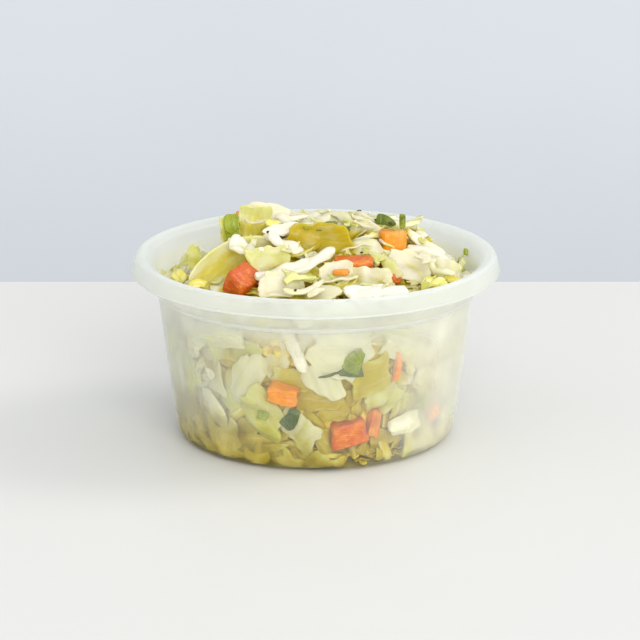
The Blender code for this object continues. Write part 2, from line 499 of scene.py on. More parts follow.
@dataclass(frozen=True)
class PlasticFinish:
    """Thin milky polypropylene: half clear where it is thin, milkier in the rim and seen edge-on.
    The milk that rises up the wall's top part into the rim is partly painted light, to lighten the wall
    in the rim's shade, and the milkier bands along the crest, the skirt's edge and the ledge are painted
    highlights.

    Each pair is the heights or radii from which and to which something grows.
    """

    name: str = "milky_plastic"
    milk: Colour = paint(240, 243, 242)
    tint: Colour = paint(254, 254, 252)
    wall_veil: float = 0.025
    rim_veil: float = 0.35
    crest_highlight_veil: float = 0.3
    edge_veil: float = 0.82
    ring_highlight_veil: float = 0.4
    ledge_share: float = 0.6
    glow: float = 0.3
    rim_glow: float = 0.3
    veiled: Span = (22 * MM, 37 * MM)
    lip: Span = (36.8 * MM, 37.4 * MM)
    foot_clear: Span = (0.0, 10 * MM)
    skirt_out: Span = (36.0 * MM, 36.2 * MM)
    skirt_down: Span = (34.4 * MM, 34.0 * MM)
    ledge_up: Span = (29.4 * MM, 29.7 * MM)
    ledge_down: Span = (30.6 * MM, 30.3 * MM)
    rim_up: Span = (32.5 * MM, 34.2 * MM)

    def make(self) -> bpy.types.Material:
        """Builds the material.

        Returns:
            The material.
        """
        r = Recipe(self.name)
        at = r.place()
        height = r.axis(at, "Z")
        haze = r.noise(at, 14 * MM, 2.0)
        ripple = r.noise(r.stretch(at, (1.0, 1.0, 0.35)), 9 * MM, 1.0)
        grain = r.noise(at, 0.8 * MM, 2.0)
        facing = r.node("ShaderNodeLayerWeight", {}, {"Blend": 0.35}, "Facing")
        level = r.stretch(at, (1.0, 1.0, 0.0))
        radius = r.node("ShaderNodeVectorMath", {"operation": "LENGTH"}, {0: level}, "Value")
        # Painted highlights: milkier rings at the skirt's edge and the ledge, and below a milkier band at the
        # crest, stand in for bright lines of light along them.
        skirt = radius.fade(*self.skirt_out) * height.fade(*self.skirt_down)
        ledge = height.fade(*self.ledge_up) * height.fade(*self.ledge_down)
        # Painted light: the milk rising from the wall's top part into the rim also lightens the wall in the
        # rim's shade.
        milk_and_painted_light = height.fade(*self.veiled) * (self.rim_veil - self.wall_veil)
        milk_and_painted_light = milk_and_painted_light + height.fade(*self.lip) * self.crest_highlight_veil
        milk_and_painted_light = milk_and_painted_light + (skirt + ledge * self.ledge_share) * self.ring_highlight_veil
        milk_and_painted_light = milk_and_painted_light + self.wall_veil + (haze - 0.5) * 0.08
        milk_and_painted_light = milk_and_painted_light + facing**1.2 * height.fade(*self.foot_clear) * self.edge_veil
        normal = r.bump(ripple + grain * 0.03, 0.5 * MM)
        rough = grain * 0.12 + 0.16
        surface = r.surface({"Base Color": self.milk, "Roughness": rough, "IOR": 1.49, "Normal": normal})
        through = r.through({"Color": self.milk, "Normal": normal})
        milk = r.blend(height.fade(*self.rim_up) * self.rim_glow + self.glow, surface, through)
        return r.done(r.blend(milk_and_painted_light, r.clear(self.tint), milk))


@dataclass(frozen=True)
class MattFinish:
    """A plain matt surface for the studio."""

    name: str
    colour: Colour
    one_sided: bool = False

    def make(self) -> bpy.types.Material:
        """Builds the material.

        Returns:
            The material.
        """
        r = Recipe(self.name)
        clouds = r.noise(r.place(), 120 * MM)
        colour = r.mix(clouds * 0.06, self.colour, WHITE)
        surface = r.surface({"Base Color": colour, "Roughness": 0.6})
        if self.one_sided:
            back = r.node("ShaderNodeNewGeometry", {}, {}, "Backfacing")
            surface = r.blend(back, surface, r.clear())
        return r.done(surface)


# ---- Mesh helpers ----


def mesh_object(
    name: str, points: np.ndarray, faces: Sequence, material: bpy.types.Material
) -> bpy.types.Object:
    """Makes a smooth-shaded mesh object.

    Args:
        name: The piece's name.
        points: Its vertices, one row each.
        faces: Its faces, each a list of vertex numbers.
        material: What it is finished with.

    Returns:
        The new object, linked to the scene.
    """
    mesh = bpy.data.meshes.new(name)
    mesh.from_pydata(points.tolist(), [], faces if isinstance(faces, list) else faces.tolist())
    mesh.shade_smooth()
    mesh.materials.append(material)
    made = bpy.data.objects.new(name, mesh)
    bpy.context.scene.collection.objects.link(made)
    return made


def arc(before: np.ndarray, corner: np.ndarray, after: np.ndarray, radius: float, count: int) -> np.ndarray:
    """Rounds one corner of a profile.

    Args:
        before: The (radius, height) point before the corner.
        corner: The sharp corner.
        after: The point after it.
        radius: The radius of the rounding.
        count: How many steps the arc has.

    Returns:
        The points of the arc, from the side of before to the side of after.
    """
    back = before - corner
    ahead = after - corner
    back_length = float(np.linalg.norm(back))
    ahead_length = float(np.linalg.norm(ahead))
    back = back / back_length
    ahead = ahead / ahead_length
    half_angle = math.acos(max(-1.0, min(1.0, float(back @ ahead)))) / 2
    reach = min(radius / math.tan(half_angle), 0.48 * back_length, 0.48 * ahead_length)
    true_radius = reach * math.tan(half_angle)
    bisector = (back + ahead) / np.linalg.norm(back + ahead)
    centre = corner + bisector * true_radius / math.sin(half_angle)
    start = corner + back * reach - centre
    end = corner + ahead * reach - centre
    first = math.atan2(start[1], start[0])
    sweep = (math.atan2(end[1], end[0]) - first + math.pi) % (2 * math.pi) - math.pi
    turns = first + sweep * np.linspace(0, 1, count + 1)
    return centre + true_radius * np.stack([np.cos(turns), np.sin(turns)], axis=1)


def densify(points: np.ndarray, step: float) -> np.ndarray:
    """Adds points along a polyline.

    Args:
        points: The polyline.
        step: How far two of its points may be apart.

    Returns:
        The polyline with the points added.
    """
    pieces = [points[:1]]
    for first, second in zip(points, points[1:]):
        count = max(1, math.ceil(float(np.linalg.norm(second - first)) / step))
        shares = np.linspace(0, 1, count + 1)[1:, None]
        pieces.append(first + (second - first) * shares)
    return np.concatenate(pieces)


def revolve(section: np.ndarray, steps: int) -> tuple[np.ndarray, list]:
    """Turns an open section about Z; its two ends lie on the axis and become single points.

    Args:
        section: (radius, height) points, from the axis round to the axis again.
        steps: How many steps the turn has.

    Returns:
        The vertices and the faces.
    """
    turns = np.arange(steps) * 2 * math.pi / steps
    inner = section[1:-1]
    radii, heights = inner[:, None, 0], np.repeat(inner[:, 1:2], steps, axis=1)
    rings = np.stack([radii * np.cos(turns), radii * np.sin(turns), heights], axis=-1).reshape(-1, 3)
    points = np.concatenate([rings, [[0, 0, section[0, 1]], [0, 0, section[-1, 1]]]])
    first_pole, last_pole = len(rings), len(rings) + 1
    faces = []
    for ring in range(len(inner) - 1):
        for turn in range(steps):
            beside = (turn + 1) % steps
            low, high = ring * steps, (ring + 1) * steps
            faces.append((low + turn, low + beside, high + beside, high + turn))
    last = (len(inner) - 1) * steps
    for turn in range(steps):
        beside = (turn + 1) % steps
        faces.append((first_pole, beside, turn))
        faces.append((last_pole, last + turn, last + beside))
    return points, faces


@lru_cache(maxsize=None)
def slice_faces(rows: int, columns: int) -> tuple[np.ndarray, np.ndarray]:
    """Gives the faces of a closed slice: a top grid, a bottom grid and a rounded edge between them.

    Args:
        rows: Points along the slice.
        columns: Points across it.

    Returns:
        The quads, and the numbers of the grid's edge points in order.
    """
    index = np.arange(rows * columns).reshape(rows, columns)
    top = np.stack([index[:-1, :-1], index[1:, :-1], index[1:, 1:], index[:-1, 1:]], -1).reshape(-1, 4)
    bottom = top[:, ::-1] + rows * columns
    loop = np.concatenate([index[:-1, 0], index[-1, :-1], index[:0:-1, -1], index[0, :0:-1]])
    ring = 2 * rows * columns + np.arange(len(loop))
    under = loop + rows * columns
    upper_band = np.stack([ring, np.roll(ring, -1), np.roll(loop, -1), loop], -1)
    lower_band = np.stack([under, np.roll(under, -1), np.roll(ring, -1), ring], -1)
    return np.concatenate([top, bottom, upper_band, lower_band]), loop


@lru_cache(maxsize=None)
def ball_faces(cells: int) -> tuple[np.ndarray, np.ndarray]:
    """Gives a cube whose six sides are grids, for rounding into blocks and drops.

    Args:
        cells: How many cells each side has in each direction.

    Returns:
        The points, from -1 to 1, and the quads.
    """
    steps = np.linspace(-1, 1, cells + 1)
    u, v = np.meshgrid(steps, steps, indexing="ij")
    index = np.arange((cells + 1) ** 2).reshape(cells + 1, cells + 1)
    quad = np.stack([index[:-1, :-1], index[1:, :-1], index[1:, 1:], index[:-1, 1:]], -1).reshape(-1, 4)
    points, faces = [], []
    for axis in range(3):
        for side in (-1.0, 1.0):
            face = np.zeros((cells + 1, cells + 1, 3))
            face[..., axis] = side
            face[..., (axis + 1) % 3] = u
            face[..., (axis + 2) % 3] = v
            faces.append((quad if side > 0 else quad[:, ::-1]) + sum(len(p) for p in points))
            points.append(face.reshape(-1, 3))
    every = np.concatenate(points)
    _, first, same = np.unique(np.round(every, 6), axis=0, return_index=True, return_inverse=True)
    return every[first], same.reshape(-1)[np.concatenate(faces)]


def soften(values: np.ndarray, times: int) -> np.ndarray:
    """Averages a grid of values with their neighbours.

    Args:
        values: The grid.
        times: How often.

    Returns:
        The softer grid.
    """
    for _ in range(times):
        padded = np.pad(values, 1, mode="edge")
        across = padded[:-2] + 2 * padded[1:-1] + padded[2:]
        values = (across[:, :-2] + 2 * across[:, 1:-1] + across[:, 2:]) / 16
    return values


# ---- The cup ----


@dataclass
class Cup:
    """The moulded cup: one thin turned sheet with a stepped foot, a stacking ledge and a rolled-down rim.

    Radii and heights are those of the sheet's underside. The first floor_points of its inner face lie
    on the floor and its edge.
    """

    sheet: float = 0.6 * MM
    base_rise: float = 0.9 * MM
    base_panel_radius: float = 20.6 * MM
    foot_inner_radius: float = 21.8 * MM
    foot_outer_radius: float = 28.0 * MM
    foot_fillet: float = 2.4 * MM
    wall_top_radius: float = 31.7 * MM
    ledge_height: float = 29.6 * MM
    ledge_width: float = 0.6 * MM
    ledge_rise: float = 0.5 * MM
    mouth_radius: float = 33.7 * MM
    mouth_height: float = 36.2 * MM
    crest_radius: float = 35.7 * MM
    crest_height: float = 37.05 * MM
    skirt_radius: float = 36.4 * MM
    skirt_height: float = 34.1 * MM
    step_fillet: float = 0.8 * MM
    ledge_fillet: float = 0.35 * MM
    ledge_top_fillet: float = 0.8 * MM
    mouth_fillet: float = 0.9 * MM
    crest_fillet: float = 0.6 * MM
    arc_steps: int = 7
    longest_step: float = 1.2 * MM
    floor_points: int = 30
    steps: int = 224
    outer: np.ndarray = field(init=False)
    inner: np.ndarray = field(init=False)

    def __post_init__(self) -> None:
        """Works out the sheet's two faces, each a profile of (radius, height) points."""
        corners = [
            (self.base_panel_radius, self.base_rise, self.step_fillet),
            (self.foot_inner_radius, 0.0, self.step_fillet),
            (self.foot_outer_radius, 0.0, self.foot_fillet),
            (self.wall_top_radius, self.ledge_height, self.ledge_fillet),
            (
                self.wall_top_radius + self.ledge_width,
                self.ledge_height + self.ledge_rise,
                self.ledge_top_fillet,
            ),
            (self.mouth_radius, self.mouth_height, self.mouth_fillet),
            (self.crest_radius, self.crest_height, self.crest_fillet),
        ]
        start, end = (0.0, self.base_rise), (self.skirt_radius, self.skirt_height)
        bare = np.array([start, *(corner[:2] for corner in corners), end])
        pieces = [bare[:1]]
        for number, (_, _, rounding) in enumerate(corners, start=1):
            pieces.append(arc(*bare[number - 1 : number + 2], rounding, self.arc_steps))
        pieces.append(bare[-1:])
        self.outer = densify(np.concatenate(pieces), self.longest_step)
        along = np.gradient(self.outer, axis=0)
        along /= np.linalg.norm(along, axis=1, keepdims=True)
        upward = np.stack([-along[:, 1], along[:, 0]], axis=1)
        upward[0] = (0.0, 1.0)
        self.inner = self.outer + upward * self.sheet

    def inside_radius(self, height: np.ndarray) -> np.ndarray:
        """Looks up how wide the cup is inside.

        Args:
            height: Heights, from the floor up to the rim.

        Returns:
            The inside radius at each of them.
        """
        wall = self.inner[self.inner[:, 0] < self.crest_radius]
        wall = wall[wall[:, 0] > self.foot_inner_radius + 2 * MM]
        return np.interp(height, wall[:, 1], wall[:, 0])

    def build(self, finish: PlasticFinish) -> bpy.types.Object:
        """Turns the section, with a rounded lip at the skirt's edge.

        Args:
            finish: The plastic.

        Returns:
            The cup.
        """
        lip_middle = (self.outer[-1] + self.inner[-1]) / 2
        across = self.inner[-1] - self.outer[-1]
        down = self.outer[-1] - self.outer[-2]
        down = down / np.linalg.norm(down) * self.sheet / 2
        turns = np.linspace(-0.5, 0.5, 6)[1:-1] * math.pi
        lip = lip_middle + np.outer(np.sin(turns), across / 2) + np.outer(np.cos(turns), down)
        section = np.concatenate([self.outer, lip, self.inner[::-1]])
        points, faces = revolve(section, self.steps)
        return mesh_object("cup_shell", points, faces, finish.make())


# ---- Chopped pieces ----


class Kind(Enum):
    """The kinds of loose piece, each joined into one mesh of that name."""

    LEAF = "cabbage_leaf"
    SHARD = "cabbage_shards"
    SCRAP = "cabbage_scraps"
    RIB = "cabbage_rib"
    SHRED = "cabbage_shred"
    CARROT = "carrot_pieces"
    GREEN = "green_leaf_bits"
    PEPPER = "pepper_specks"


BLOCKS = (Kind.CARROT, Kind.PEPPER)


@dataclass
class Cut:
    """The size and form of one chopped piece.

    Its length runs along its own x and its width along y. Bend and hollow are how far its ends and its
    sides rise, sweep is how far its ends swing sideways, twist is the angle from end to end, and ridge
    is how much thicker it is along its vein. Soak is its own share of dressing, and sunk is how much it
    takes up of the golden given to what lies deep in the salad, which is dressing and painted shade.
    """

    length: float
    width: float
    thickness: float
    rounding: float = 0.4
    ragged: float = 0.05
    skew: float = 0.15
    bend: float = 0.0
    hollow: float = 0.0
    sweep: float = 0.0
    twist: float = 0.0
    ruffle: float = 0.0
    taper: float = 0.0
    belly: float = 0.25
    ridge: float = 0.0
    crinkle: float = 0.12 * MM
    rows: int = 9
    columns: int = 9
    tone: float = 0.5
    soak: float = 0.3
    sunk: float = 1.0


@dataclass
class Lay:
    """How one piece lies on a bed: its spot, its turns, and how it meets what is under it.

    Heading turns it about the bed's upright, rise lifts its far end and roll lifts its far side.
    Where height is set, its middle is there, and otherwise it comes down until the share contact of
    it is clear of the bed. A limp piece sags by that share of the gaps left under it.
    """

    a: float
    b: float
    heading: float = 0.0
    rise: float = 0.0
    roll: float = 0.0
    lift: float = 0.0
    height: Optional[float] = None
    contact: float = 0.85
    limp: float = 0.4

    def turns(self) -> np.ndarray:
        """Joins its three turns.

        Returns:
            Their matrix.
        """
        ch, sh = math.cos(self.heading), math.sin(self.heading)
        cr, sr = math.cos(self.rise), math.sin(self.rise)
        co, so = math.cos(self.roll), math.sin(self.roll)
        about_length = np.array([[1, 0, 0], [0, co, -so], [0, so, co]])
        upward = np.array([[cr, 0, -sr], [0, 1, 0], [sr, 0, cr]])
        around = np.array([[ch, -sh, 0], [sh, ch, 0], [0, 0, 1]])
        return around @ upward @ about_length


def widened(grid: np.ndarray, times: int) -> np.ndarray:
    """Lets each value of a grid spread to its neighbours where they are lower.

    Args:
        grid: The values.
        times: How many cells far they spread.

    Returns:
        The spread values.
    """
    for _ in range(times):
        for axis in (0, 1):
            beside = np.maximum(np.roll(grid, 1, axis), np.roll(grid, -1, axis))
            grid = np.maximum(grid, beside)
    return grid


def finer(grid: np.ndarray, times: int) -> np.ndarray:
    """Adds points between those of a grid, along both of its directions.

    Args:
        grid: The points or values.
        times: Into how many parts each of its steps is cut.

    Returns:
        The finer grid.
    """
    for _ in range(2):
        at = np.linspace(0, grid.shape[0] - 1, (grid.shape[0] - 1) * times + 1)
        low = np.minimum(at.astype(int), grid.shape[0] - 2)
        share = (at - low).reshape(-1, *[1] * (grid.ndim - 1))
        grid = (grid[low] * (1 - share) + grid[low + 1] * share).swapaxes(0, 1)
    return grid


class Bed:
    """Heights over two directions, on which pieces are laid one by one."""

    mirrored = False

    def __init__(self, low: Sequence[float], high: Sequence[float], cell: float, wraps: bool = False) -> None:
        """Makes a level bed.

        Args:
            low: The bed's lowest coordinate in each direction.
            high: Its highest.
            cell: About how wide its cells are.
            wraps: Whether its first direction closes on itself.
        """
        self.low = np.array(low, float)
        self.shape = tuple(int(round((h - l) / cell)) + 1 for l, h in zip(low, high))
        spans = [self.shape[0] if wraps else self.shape[0] - 1, self.shape[1] - 1]
        self.cell = (np.array(high, float) - self.low) / spans
        self.wraps = wraps
        self.start(np.zeros(self.shape))

    def start(self, level: np.ndarray) -> None:
        """Sets the bare bed's heights, below which no piece goes."""
        self.bare = level
        self.level = level.copy()

    def cells(self, a: np.ndarray, b: np.ndarray) -> tuple[np.ndarray, np.ndarray]:
        """Finds the cells that points are in.

        Args:
            a: The points' first coordinates.
            b: Their second ones.

        Returns:
            The cells' numbers in each direction.
        """
        i = np.round((a - self.low[0]) / self.cell[0]).astype(int)
        j = np.round((b - self.low[1]) / self.cell[1]).astype(int)
        i = i % self.shape[0] if self.wraps else np.clip(i, 0, self.shape[0] - 1)
        return i, np.clip(j, 0, self.shape[1] - 1)

    def grid(self) -> tuple[np.ndarray, np.ndarray]:
        """Gives the coordinates of all cells.

        Returns:
            Their first coordinates and their second ones.
        """
        a = self.low[0] + self.cell[0] * np.arange(self.shape[0])
        b = self.low[1] + self.cell[1] * np.arange(self.shape[1])
        return np.meshgrid(a, b, indexing="ij")

    def height(self, a: np.ndarray, b: np.ndarray) -> np.ndarray:
        """Gives the bed's height at points."""
        return self.level[self.cells(a, b)]

    def cover(self, points: np.ndarray) -> None:
        """Raises the bed to a piece's upper face."""
        a, b, height = points.reshape(-1, 3).T
        np.maximum.at(self.level, self.cells(a, b), height)

    def place(self, points: np.ndarray) -> np.ndarray:
        """Lifts points out of the bare bed and turns them into points in space."""
        bare = self.bare[self.cells(points[:, 0], points[:, 1])]
        return self.to_world(np.column_stack([points[:, :2], np.maximum(points[:, 2], bare)]))

    def to_world(self, points: np.ndarray) -> np.ndarray:
        """Turns points of the bed into points in space."""
        return points


class HeapBed(Bed):
    """The top of the heap: its directions are X and Y, and pieces stay inside the cup's wall."""

    def __init__(self, cup: Cup, reach: float, cell: float) -> None:
        """Makes the bed over a square of that reach to each side."""
        super().__init__((-reach, -reach), (reach, reach), cell)
        self.cup = cup

    def to_world(self, points: np.ndarray) -> np.ndarray:
        """Pushes what would pass through the wall back inside it.

        Args:
            points: Points of the bed.

        Returns:
            The points in space.
        """
        radius = np.hypot(points[:, 0], points[:, 1]) + 1e-9
        most = self.cup.inside_radius(points[:, 2]) + 0.1 * MM
        share = np.minimum(1.0, most / radius)[:, None]
        return points * np.concatenate([share, share, np.ones_like(share)], axis=1)


class WallBed(Bed):
    """The inside of the cup unrolled: round it, up its profile, and inwards as the height."""

    mirrored = True

    def __init__(self, cup: Cup, top: float, cell: float) -> None:
        """Makes the bed from the flat of the base, round the foot and up the wall.

        Args:
            cup: The cup.
            top: The height at which it ends.
            cell: About how wide its cells are.
        """
        profile = cup.inner[(cup.inner[:, 0] > cup.foot_inner_radius) & (cup.inner[:, 1] < top)]
        profile = profile[: int(np.argmax(profile[:, 1])) + 1]
        steps = np.linalg.norm(np.diff(profile, axis=0), axis=1)
        self.along = np.concatenate([[0.0], np.cumsum(steps)])
        self.profile = profile
        tangent = np.gradient(profile, axis=0)
        tangent /= np.linalg.norm(tangent, axis=1, keepdims=True)
        self.inward = np.stack([-tangent[:, 1], tangent[:, 0]], axis=1)
        self.radius = cup.wall_top_radius - cup.sheet
        super().__init__((0.0, 0.0), (2 * math.pi * self.radius, self.along[-1]), cell, wraps=True)

    def spot(self, azimuth: float, height: float) -> tuple[float, float]:
        """Finds a point of the bed.

        Args:
            azimuth: Its azimuth.
            height: Its height above the foot.

        Returns:
            Its coordinates on the bed.
        """
        wall = self.profile[:, 1]
        rising = np.argmax(wall > wall.min() + 0.1 * MM)
        along = float(np.interp(height, wall[rising:], self.along[rising:]))
        return (azimuth % (2 * math.pi)) * self.radius, along

    def to_world(self, points: np.ndarray) -> np.ndarray:
        """Rolls points of the bed back round the cup.

        Args:
            points: Points of the bed.

        Returns:
            The points in space.
        """
        turn = points[:, 0] / self.radius
        along = points[:, 1]
        radius = np.interp(along, self.along, self.profile[:, 0])
        radius += np.interp(along, self.along, self.inward[:, 0]) * points[:, 2]
        height = np.interp(along, self.along, self.profile[:, 1])
        height += np.interp(along, self.along, self.inward[:, 1]) * points[:, 2]
        height += np.maximum(along - self.along[-1], 0)
        return np.stack([radius * np.cos(turn), radius * np.sin(turn), height], axis=1)


@dataclass
class Solid:
    """One finished piece: points, faces, grain coordinates in millimetres, and nearness to its edge."""

    points: np.ndarray
    faces: np.ndarray
    grain: np.ndarray
    edge: np.ndarray


def make_slice(cut: Cut, lay: Lay, bed: Bed, dice: np.random.Generator) -> Solid:
    """Forms a flat piece, lets it down onto a bed and closes it.

    Args:
        cut: Its size and form.
        lay: Where and how it lies.
        bed: What it lies on, which it then raises.
        dice: The source of its small irregularities.

    Returns:
        The piece in space.
    """
    s, t = np.meshgrid(np.linspace(-1, 1, cut.rows), np.linspace(-1, 1, cut.columns), indexing="ij")
    x = s * np.sqrt(1 - cut.rounding * t * t / 2)
    y = t * np.sqrt(1 - cut.rounding * s * s / 2)
    corners = dice.uniform(-cut.skew, cut.skew, (2, 2, 2))
    for i in range(2):
        for j in range(2):
            weight = (1 + (2 * i - 1) * s) / 2 * (1 + (2 * j - 1) * t) / 2
            x = x + weight * corners[i, j, 0]
            y = y + weight * corners[i, j, 1]
    turn = np.arctan2(t, s + 1e-9)
    waves = [k for k in (2, 3, 4, 5, 7, 11) if k < cut.rows]
    wobble = sum(1.6 * dice.normal() / k * np.cos(k * turn + dice.uniform(0, 6.3)) for k in waves)
    edge = np.maximum(np.abs(s), np.abs(t)) ** 3
    torn = soften(dice.normal(0, 1.0, s.shape), 1)
    swell = 1 + cut.ragged * (wobble + torn) * edge
    x = x * swell * cut.length / 2
    y = y * swell * cut.width / 2 * (1 - cut.taper * s)
    grain = np.stack([x, y, np.full_like(x, dice.uniform(0, 0.2))], axis=-1) / MM
    z = cut.bend * s * s + cut.hollow * t * t
    for side in (-1, 1):
        wave = np.sin(dice.uniform(1, 3.5) * s + dice.uniform(0, 6.3) + dice.uniform(-1, 1) * s * s)
        z = z + cut.ruffle * dice.uniform(0.2, 1.0) * wave * ((1 + side * t) / 2) ** 2
    z = z + 0.02 * cut.length * np.sin(dice.uniform(2, 4) * t + dice.uniform(0, 6.3)) * np.cos(2 * s)
    for _ in range(3):
        z = z + cut.crinkle * np.sin(grain @ dice.normal(0, 1.1, 3) + dice.uniform(0, 6.3))
    y = y + cut.sweep * s * s
    angle = cut.twist * s / 2
    y, z = y * np.cos(angle) - z * np.sin(angle), y * np.sin(angle) + z * np.cos(angle)
    half = cut.thickness / 2 * (1 - cut.belly * t * t) * (1 - 0.3 * edge)
    half = half * (1 + 0.12 * np.sin(3 * s + dice.uniform(0, 6.3)))
    vein = np.exp(-(((t - dice.uniform(-0.4, 0.4) - 0.3 * s * dice.uniform(-1, 1)) / 0.28) ** 2))
    half = half + cut.ridge / 2 * vein

    middle = np.stack([x, y, z], axis=-1) @ lay.turns().T
    middle[..., 0] += lay.a
    middle[..., 1] += lay.b
    ground = bed.height(middle[..., 0], middle[..., 1])
    if lay.height is None:
        middle[..., 2] += np.quantile(ground + half - middle[..., 2], lay.contact) + lay.lift
        gap = middle[..., 2] - half - ground
        pushed = soften(np.maximum(-gap, 0), 2)
        sagged = soften(np.maximum(gap - 0.4 * MM, 0), 3) * lay.limp
        middle[..., 2] += pushed - sagged
    else:
        middle[..., 2] += lay.height
    upper = middle + np.array([0, 0, 1]) * half[..., None]
    bed.cover(finer(upper, 3))

    normal = np.cross(np.gradient(middle, axis=0), np.gradient(middle, axis=1))
    normal /= np.linalg.norm(normal, axis=-1, keepdims=True) + 1e-12
    faces, loop = slice_faces(cut.rows, cut.columns)
    flat, sides = middle.reshape(-1, 3), (normal * half[..., None]).reshape(-1, 3)
    tangent = flat[np.roll(loop, -1)] - flat[np.roll(loop, 1)]
    outward = np.cross(tangent, normal.reshape(-1, 3)[loop])
    outward /= np.linalg.norm(outward, axis=1, keepdims=True) + 1e-12
    rim = flat[loop] + outward * half.reshape(-1)[loop][:, None] * 0.5
    points = bed.place(np.concatenate([flat + sides, flat - sides, rim]))
    pale = np.maximum(np.maximum(np.abs(s), np.abs(t)), vein * min(1.0, cut.ridge / (0.4 * MM)))
    grain, near = grain.reshape(-1, 3), pale.reshape(-1)
    grain = np.concatenate([grain, grain, grain[loop]])
    near = np.concatenate([near, near, np.full(len(loop), 1.1)])
    return Solid(points, faces[:, ::-1] if bed.mirrored else faces, grain, near)


def make_block(cut: Cut, lay: Lay, bed: Bed, dice: np.random.Generator) -> Solid:
    """Forms a thick piece, such as a carrot dice or a speck, and rests it on a bed.

    Args:
        cut: Its size and form; the more rounding it has, the rounder it is.
        lay: Where and how it lies.
        bed: What it lies on, which it then raises.
        dice: The source of its small irregularities.

    Returns:
        The piece in space.
    """
    cube, faces = ball_faces(cut.rows)
    power = 2 + 9 * (1 - cut.rounding) ** 2
    norm = (np.abs(cube) ** power).sum(axis=1) ** (1 / power)
    points = cube / norm[:, None]
    shift = dice.uniform(-cut.skew, cut.skew, (2, 2, 2, 3))
    for i in range(2):
        for j in range(2):
            for k in range(2):
                signs = np.array([2 * i - 1, 2 * j - 1, 2 * k - 1])
                weight = np.prod((1 + cube * signs) / 2, axis=1)[:, None]
                points = points + weight * shift[i, j, k]
    waves = np.sin(cube @ dice.uniform(-3, 3, (3, 3)) + dice.uniform(0, 6.3, 3))
    points = points + cut.ragged * waves
    points = points * np.array([cut.length, cut.width, cut.thickness]) / 2
    points[:, 2] += cut.bend * (2 * points[:, 0] / cut.length) ** 2
    points[:, 1] += cut.sweep * (2 * points[:, 0] / cut.length) ** 2
    grain = (points + dice.uniform(0, 0.1, 3)) / MM
    points = points @ lay.turns().T + np.array([lay.a, lay.b, 0])
    if lay.height is None:
        ground = bed.height(points[:, 0], points[:, 1])
        points[:, 2] += np.quantile(ground - points[:, 2], 0.6 + 0.4 * lay.contact) + lay.lift
    else:
        points[:, 2] += lay.height
    bed.cover(points[faces].mean(axis=1))
    bed.cover(points)
    near = np.sort(np.abs(cube), axis=1)[:, 1]
    return Solid(bed.place(points), faces[:, ::-1] if bed.mirrored else faces, grain, near)


class Batch:
    """All the pieces of one kind, joined into one mesh."""

    crease = 50 * DEGREE

    def __init__(self, kind: Kind) -> None:
        """Starts an empty batch.

        Args:
            kind: The kind of its pieces.
        """
        self.kind = kind
        self.solids: list[Solid] = []
        self.tones: list[tuple[float, float, float]] = []

    def add(self, solid: Solid, cut: Cut) -> None:
        """Adds one piece with its place between its kind's colours and its shares of dressing."""
        self.solids.append(solid)
        self.tones.append((cut.tone, cut.soak, cut.sunk))

    def build(
        self, material: bpy.types.Material, shade_and_dressing_by_depth: Callable[[np.ndarray], np.ndarray]
    ) -> bpy.types.Object:
        """Joins the pieces into one object that carries their grain, tone, soak and edges; the soak
        holds their dressing and the painted shade of lying deep.

        Args:
            material: Their finish.
            shade_and_dressing_by_depth: Gives the share of dressing and of painted shade that points get from
                lying deep.

        Returns:
            The joined object.
        """
        counts = [len(solid.points) for solid in self.solids]
        starts = np.concatenate([[0], np.cumsum(counts)[:-1]])
        points = np.concatenate([solid.points for solid in self.solids])
        faces = np.concatenate([solid.faces + start for solid, start in zip(self.solids, starts)])
        made = mesh_object(self.kind.value, points, faces, material)
        made.data.set_sharp_from_angle(angle=self.crease)
        grain = np.concatenate([solid.grain for solid in self.solids])
        held = made.data.attributes.new("grain", "FLOAT_VECTOR", "POINT")
        held.data.foreach_set("vector", grain.astype(np.float32).ravel())
        tone, soak, sunk = (np.repeat(values, counts) for values in np.array(self.tones).T)
        # Points that lie deep get more: golden as dressing, and partly painted shade for the shaded gaps
        # between pieces.
        soak = soak + sunk * shade_and_dressing_by_depth(points)
        edge = np.concatenate([solid.edge for solid in self.solids])
        for name, values in {"tone": tone, "soak": soak, "edge": edge}.items():
            held = made.data.attributes.new(name, "FLOAT", "POINT")
            held.data.foreach_set("value", values.astype(np.float32))
        return made


@dataclass(frozen=True)
class Draw:
    """A number drawn anew for each piece: its limits, and its unit or the size that it is a share of."""

    low: float
    high: float
    unit: Union[float, str] = 1.0


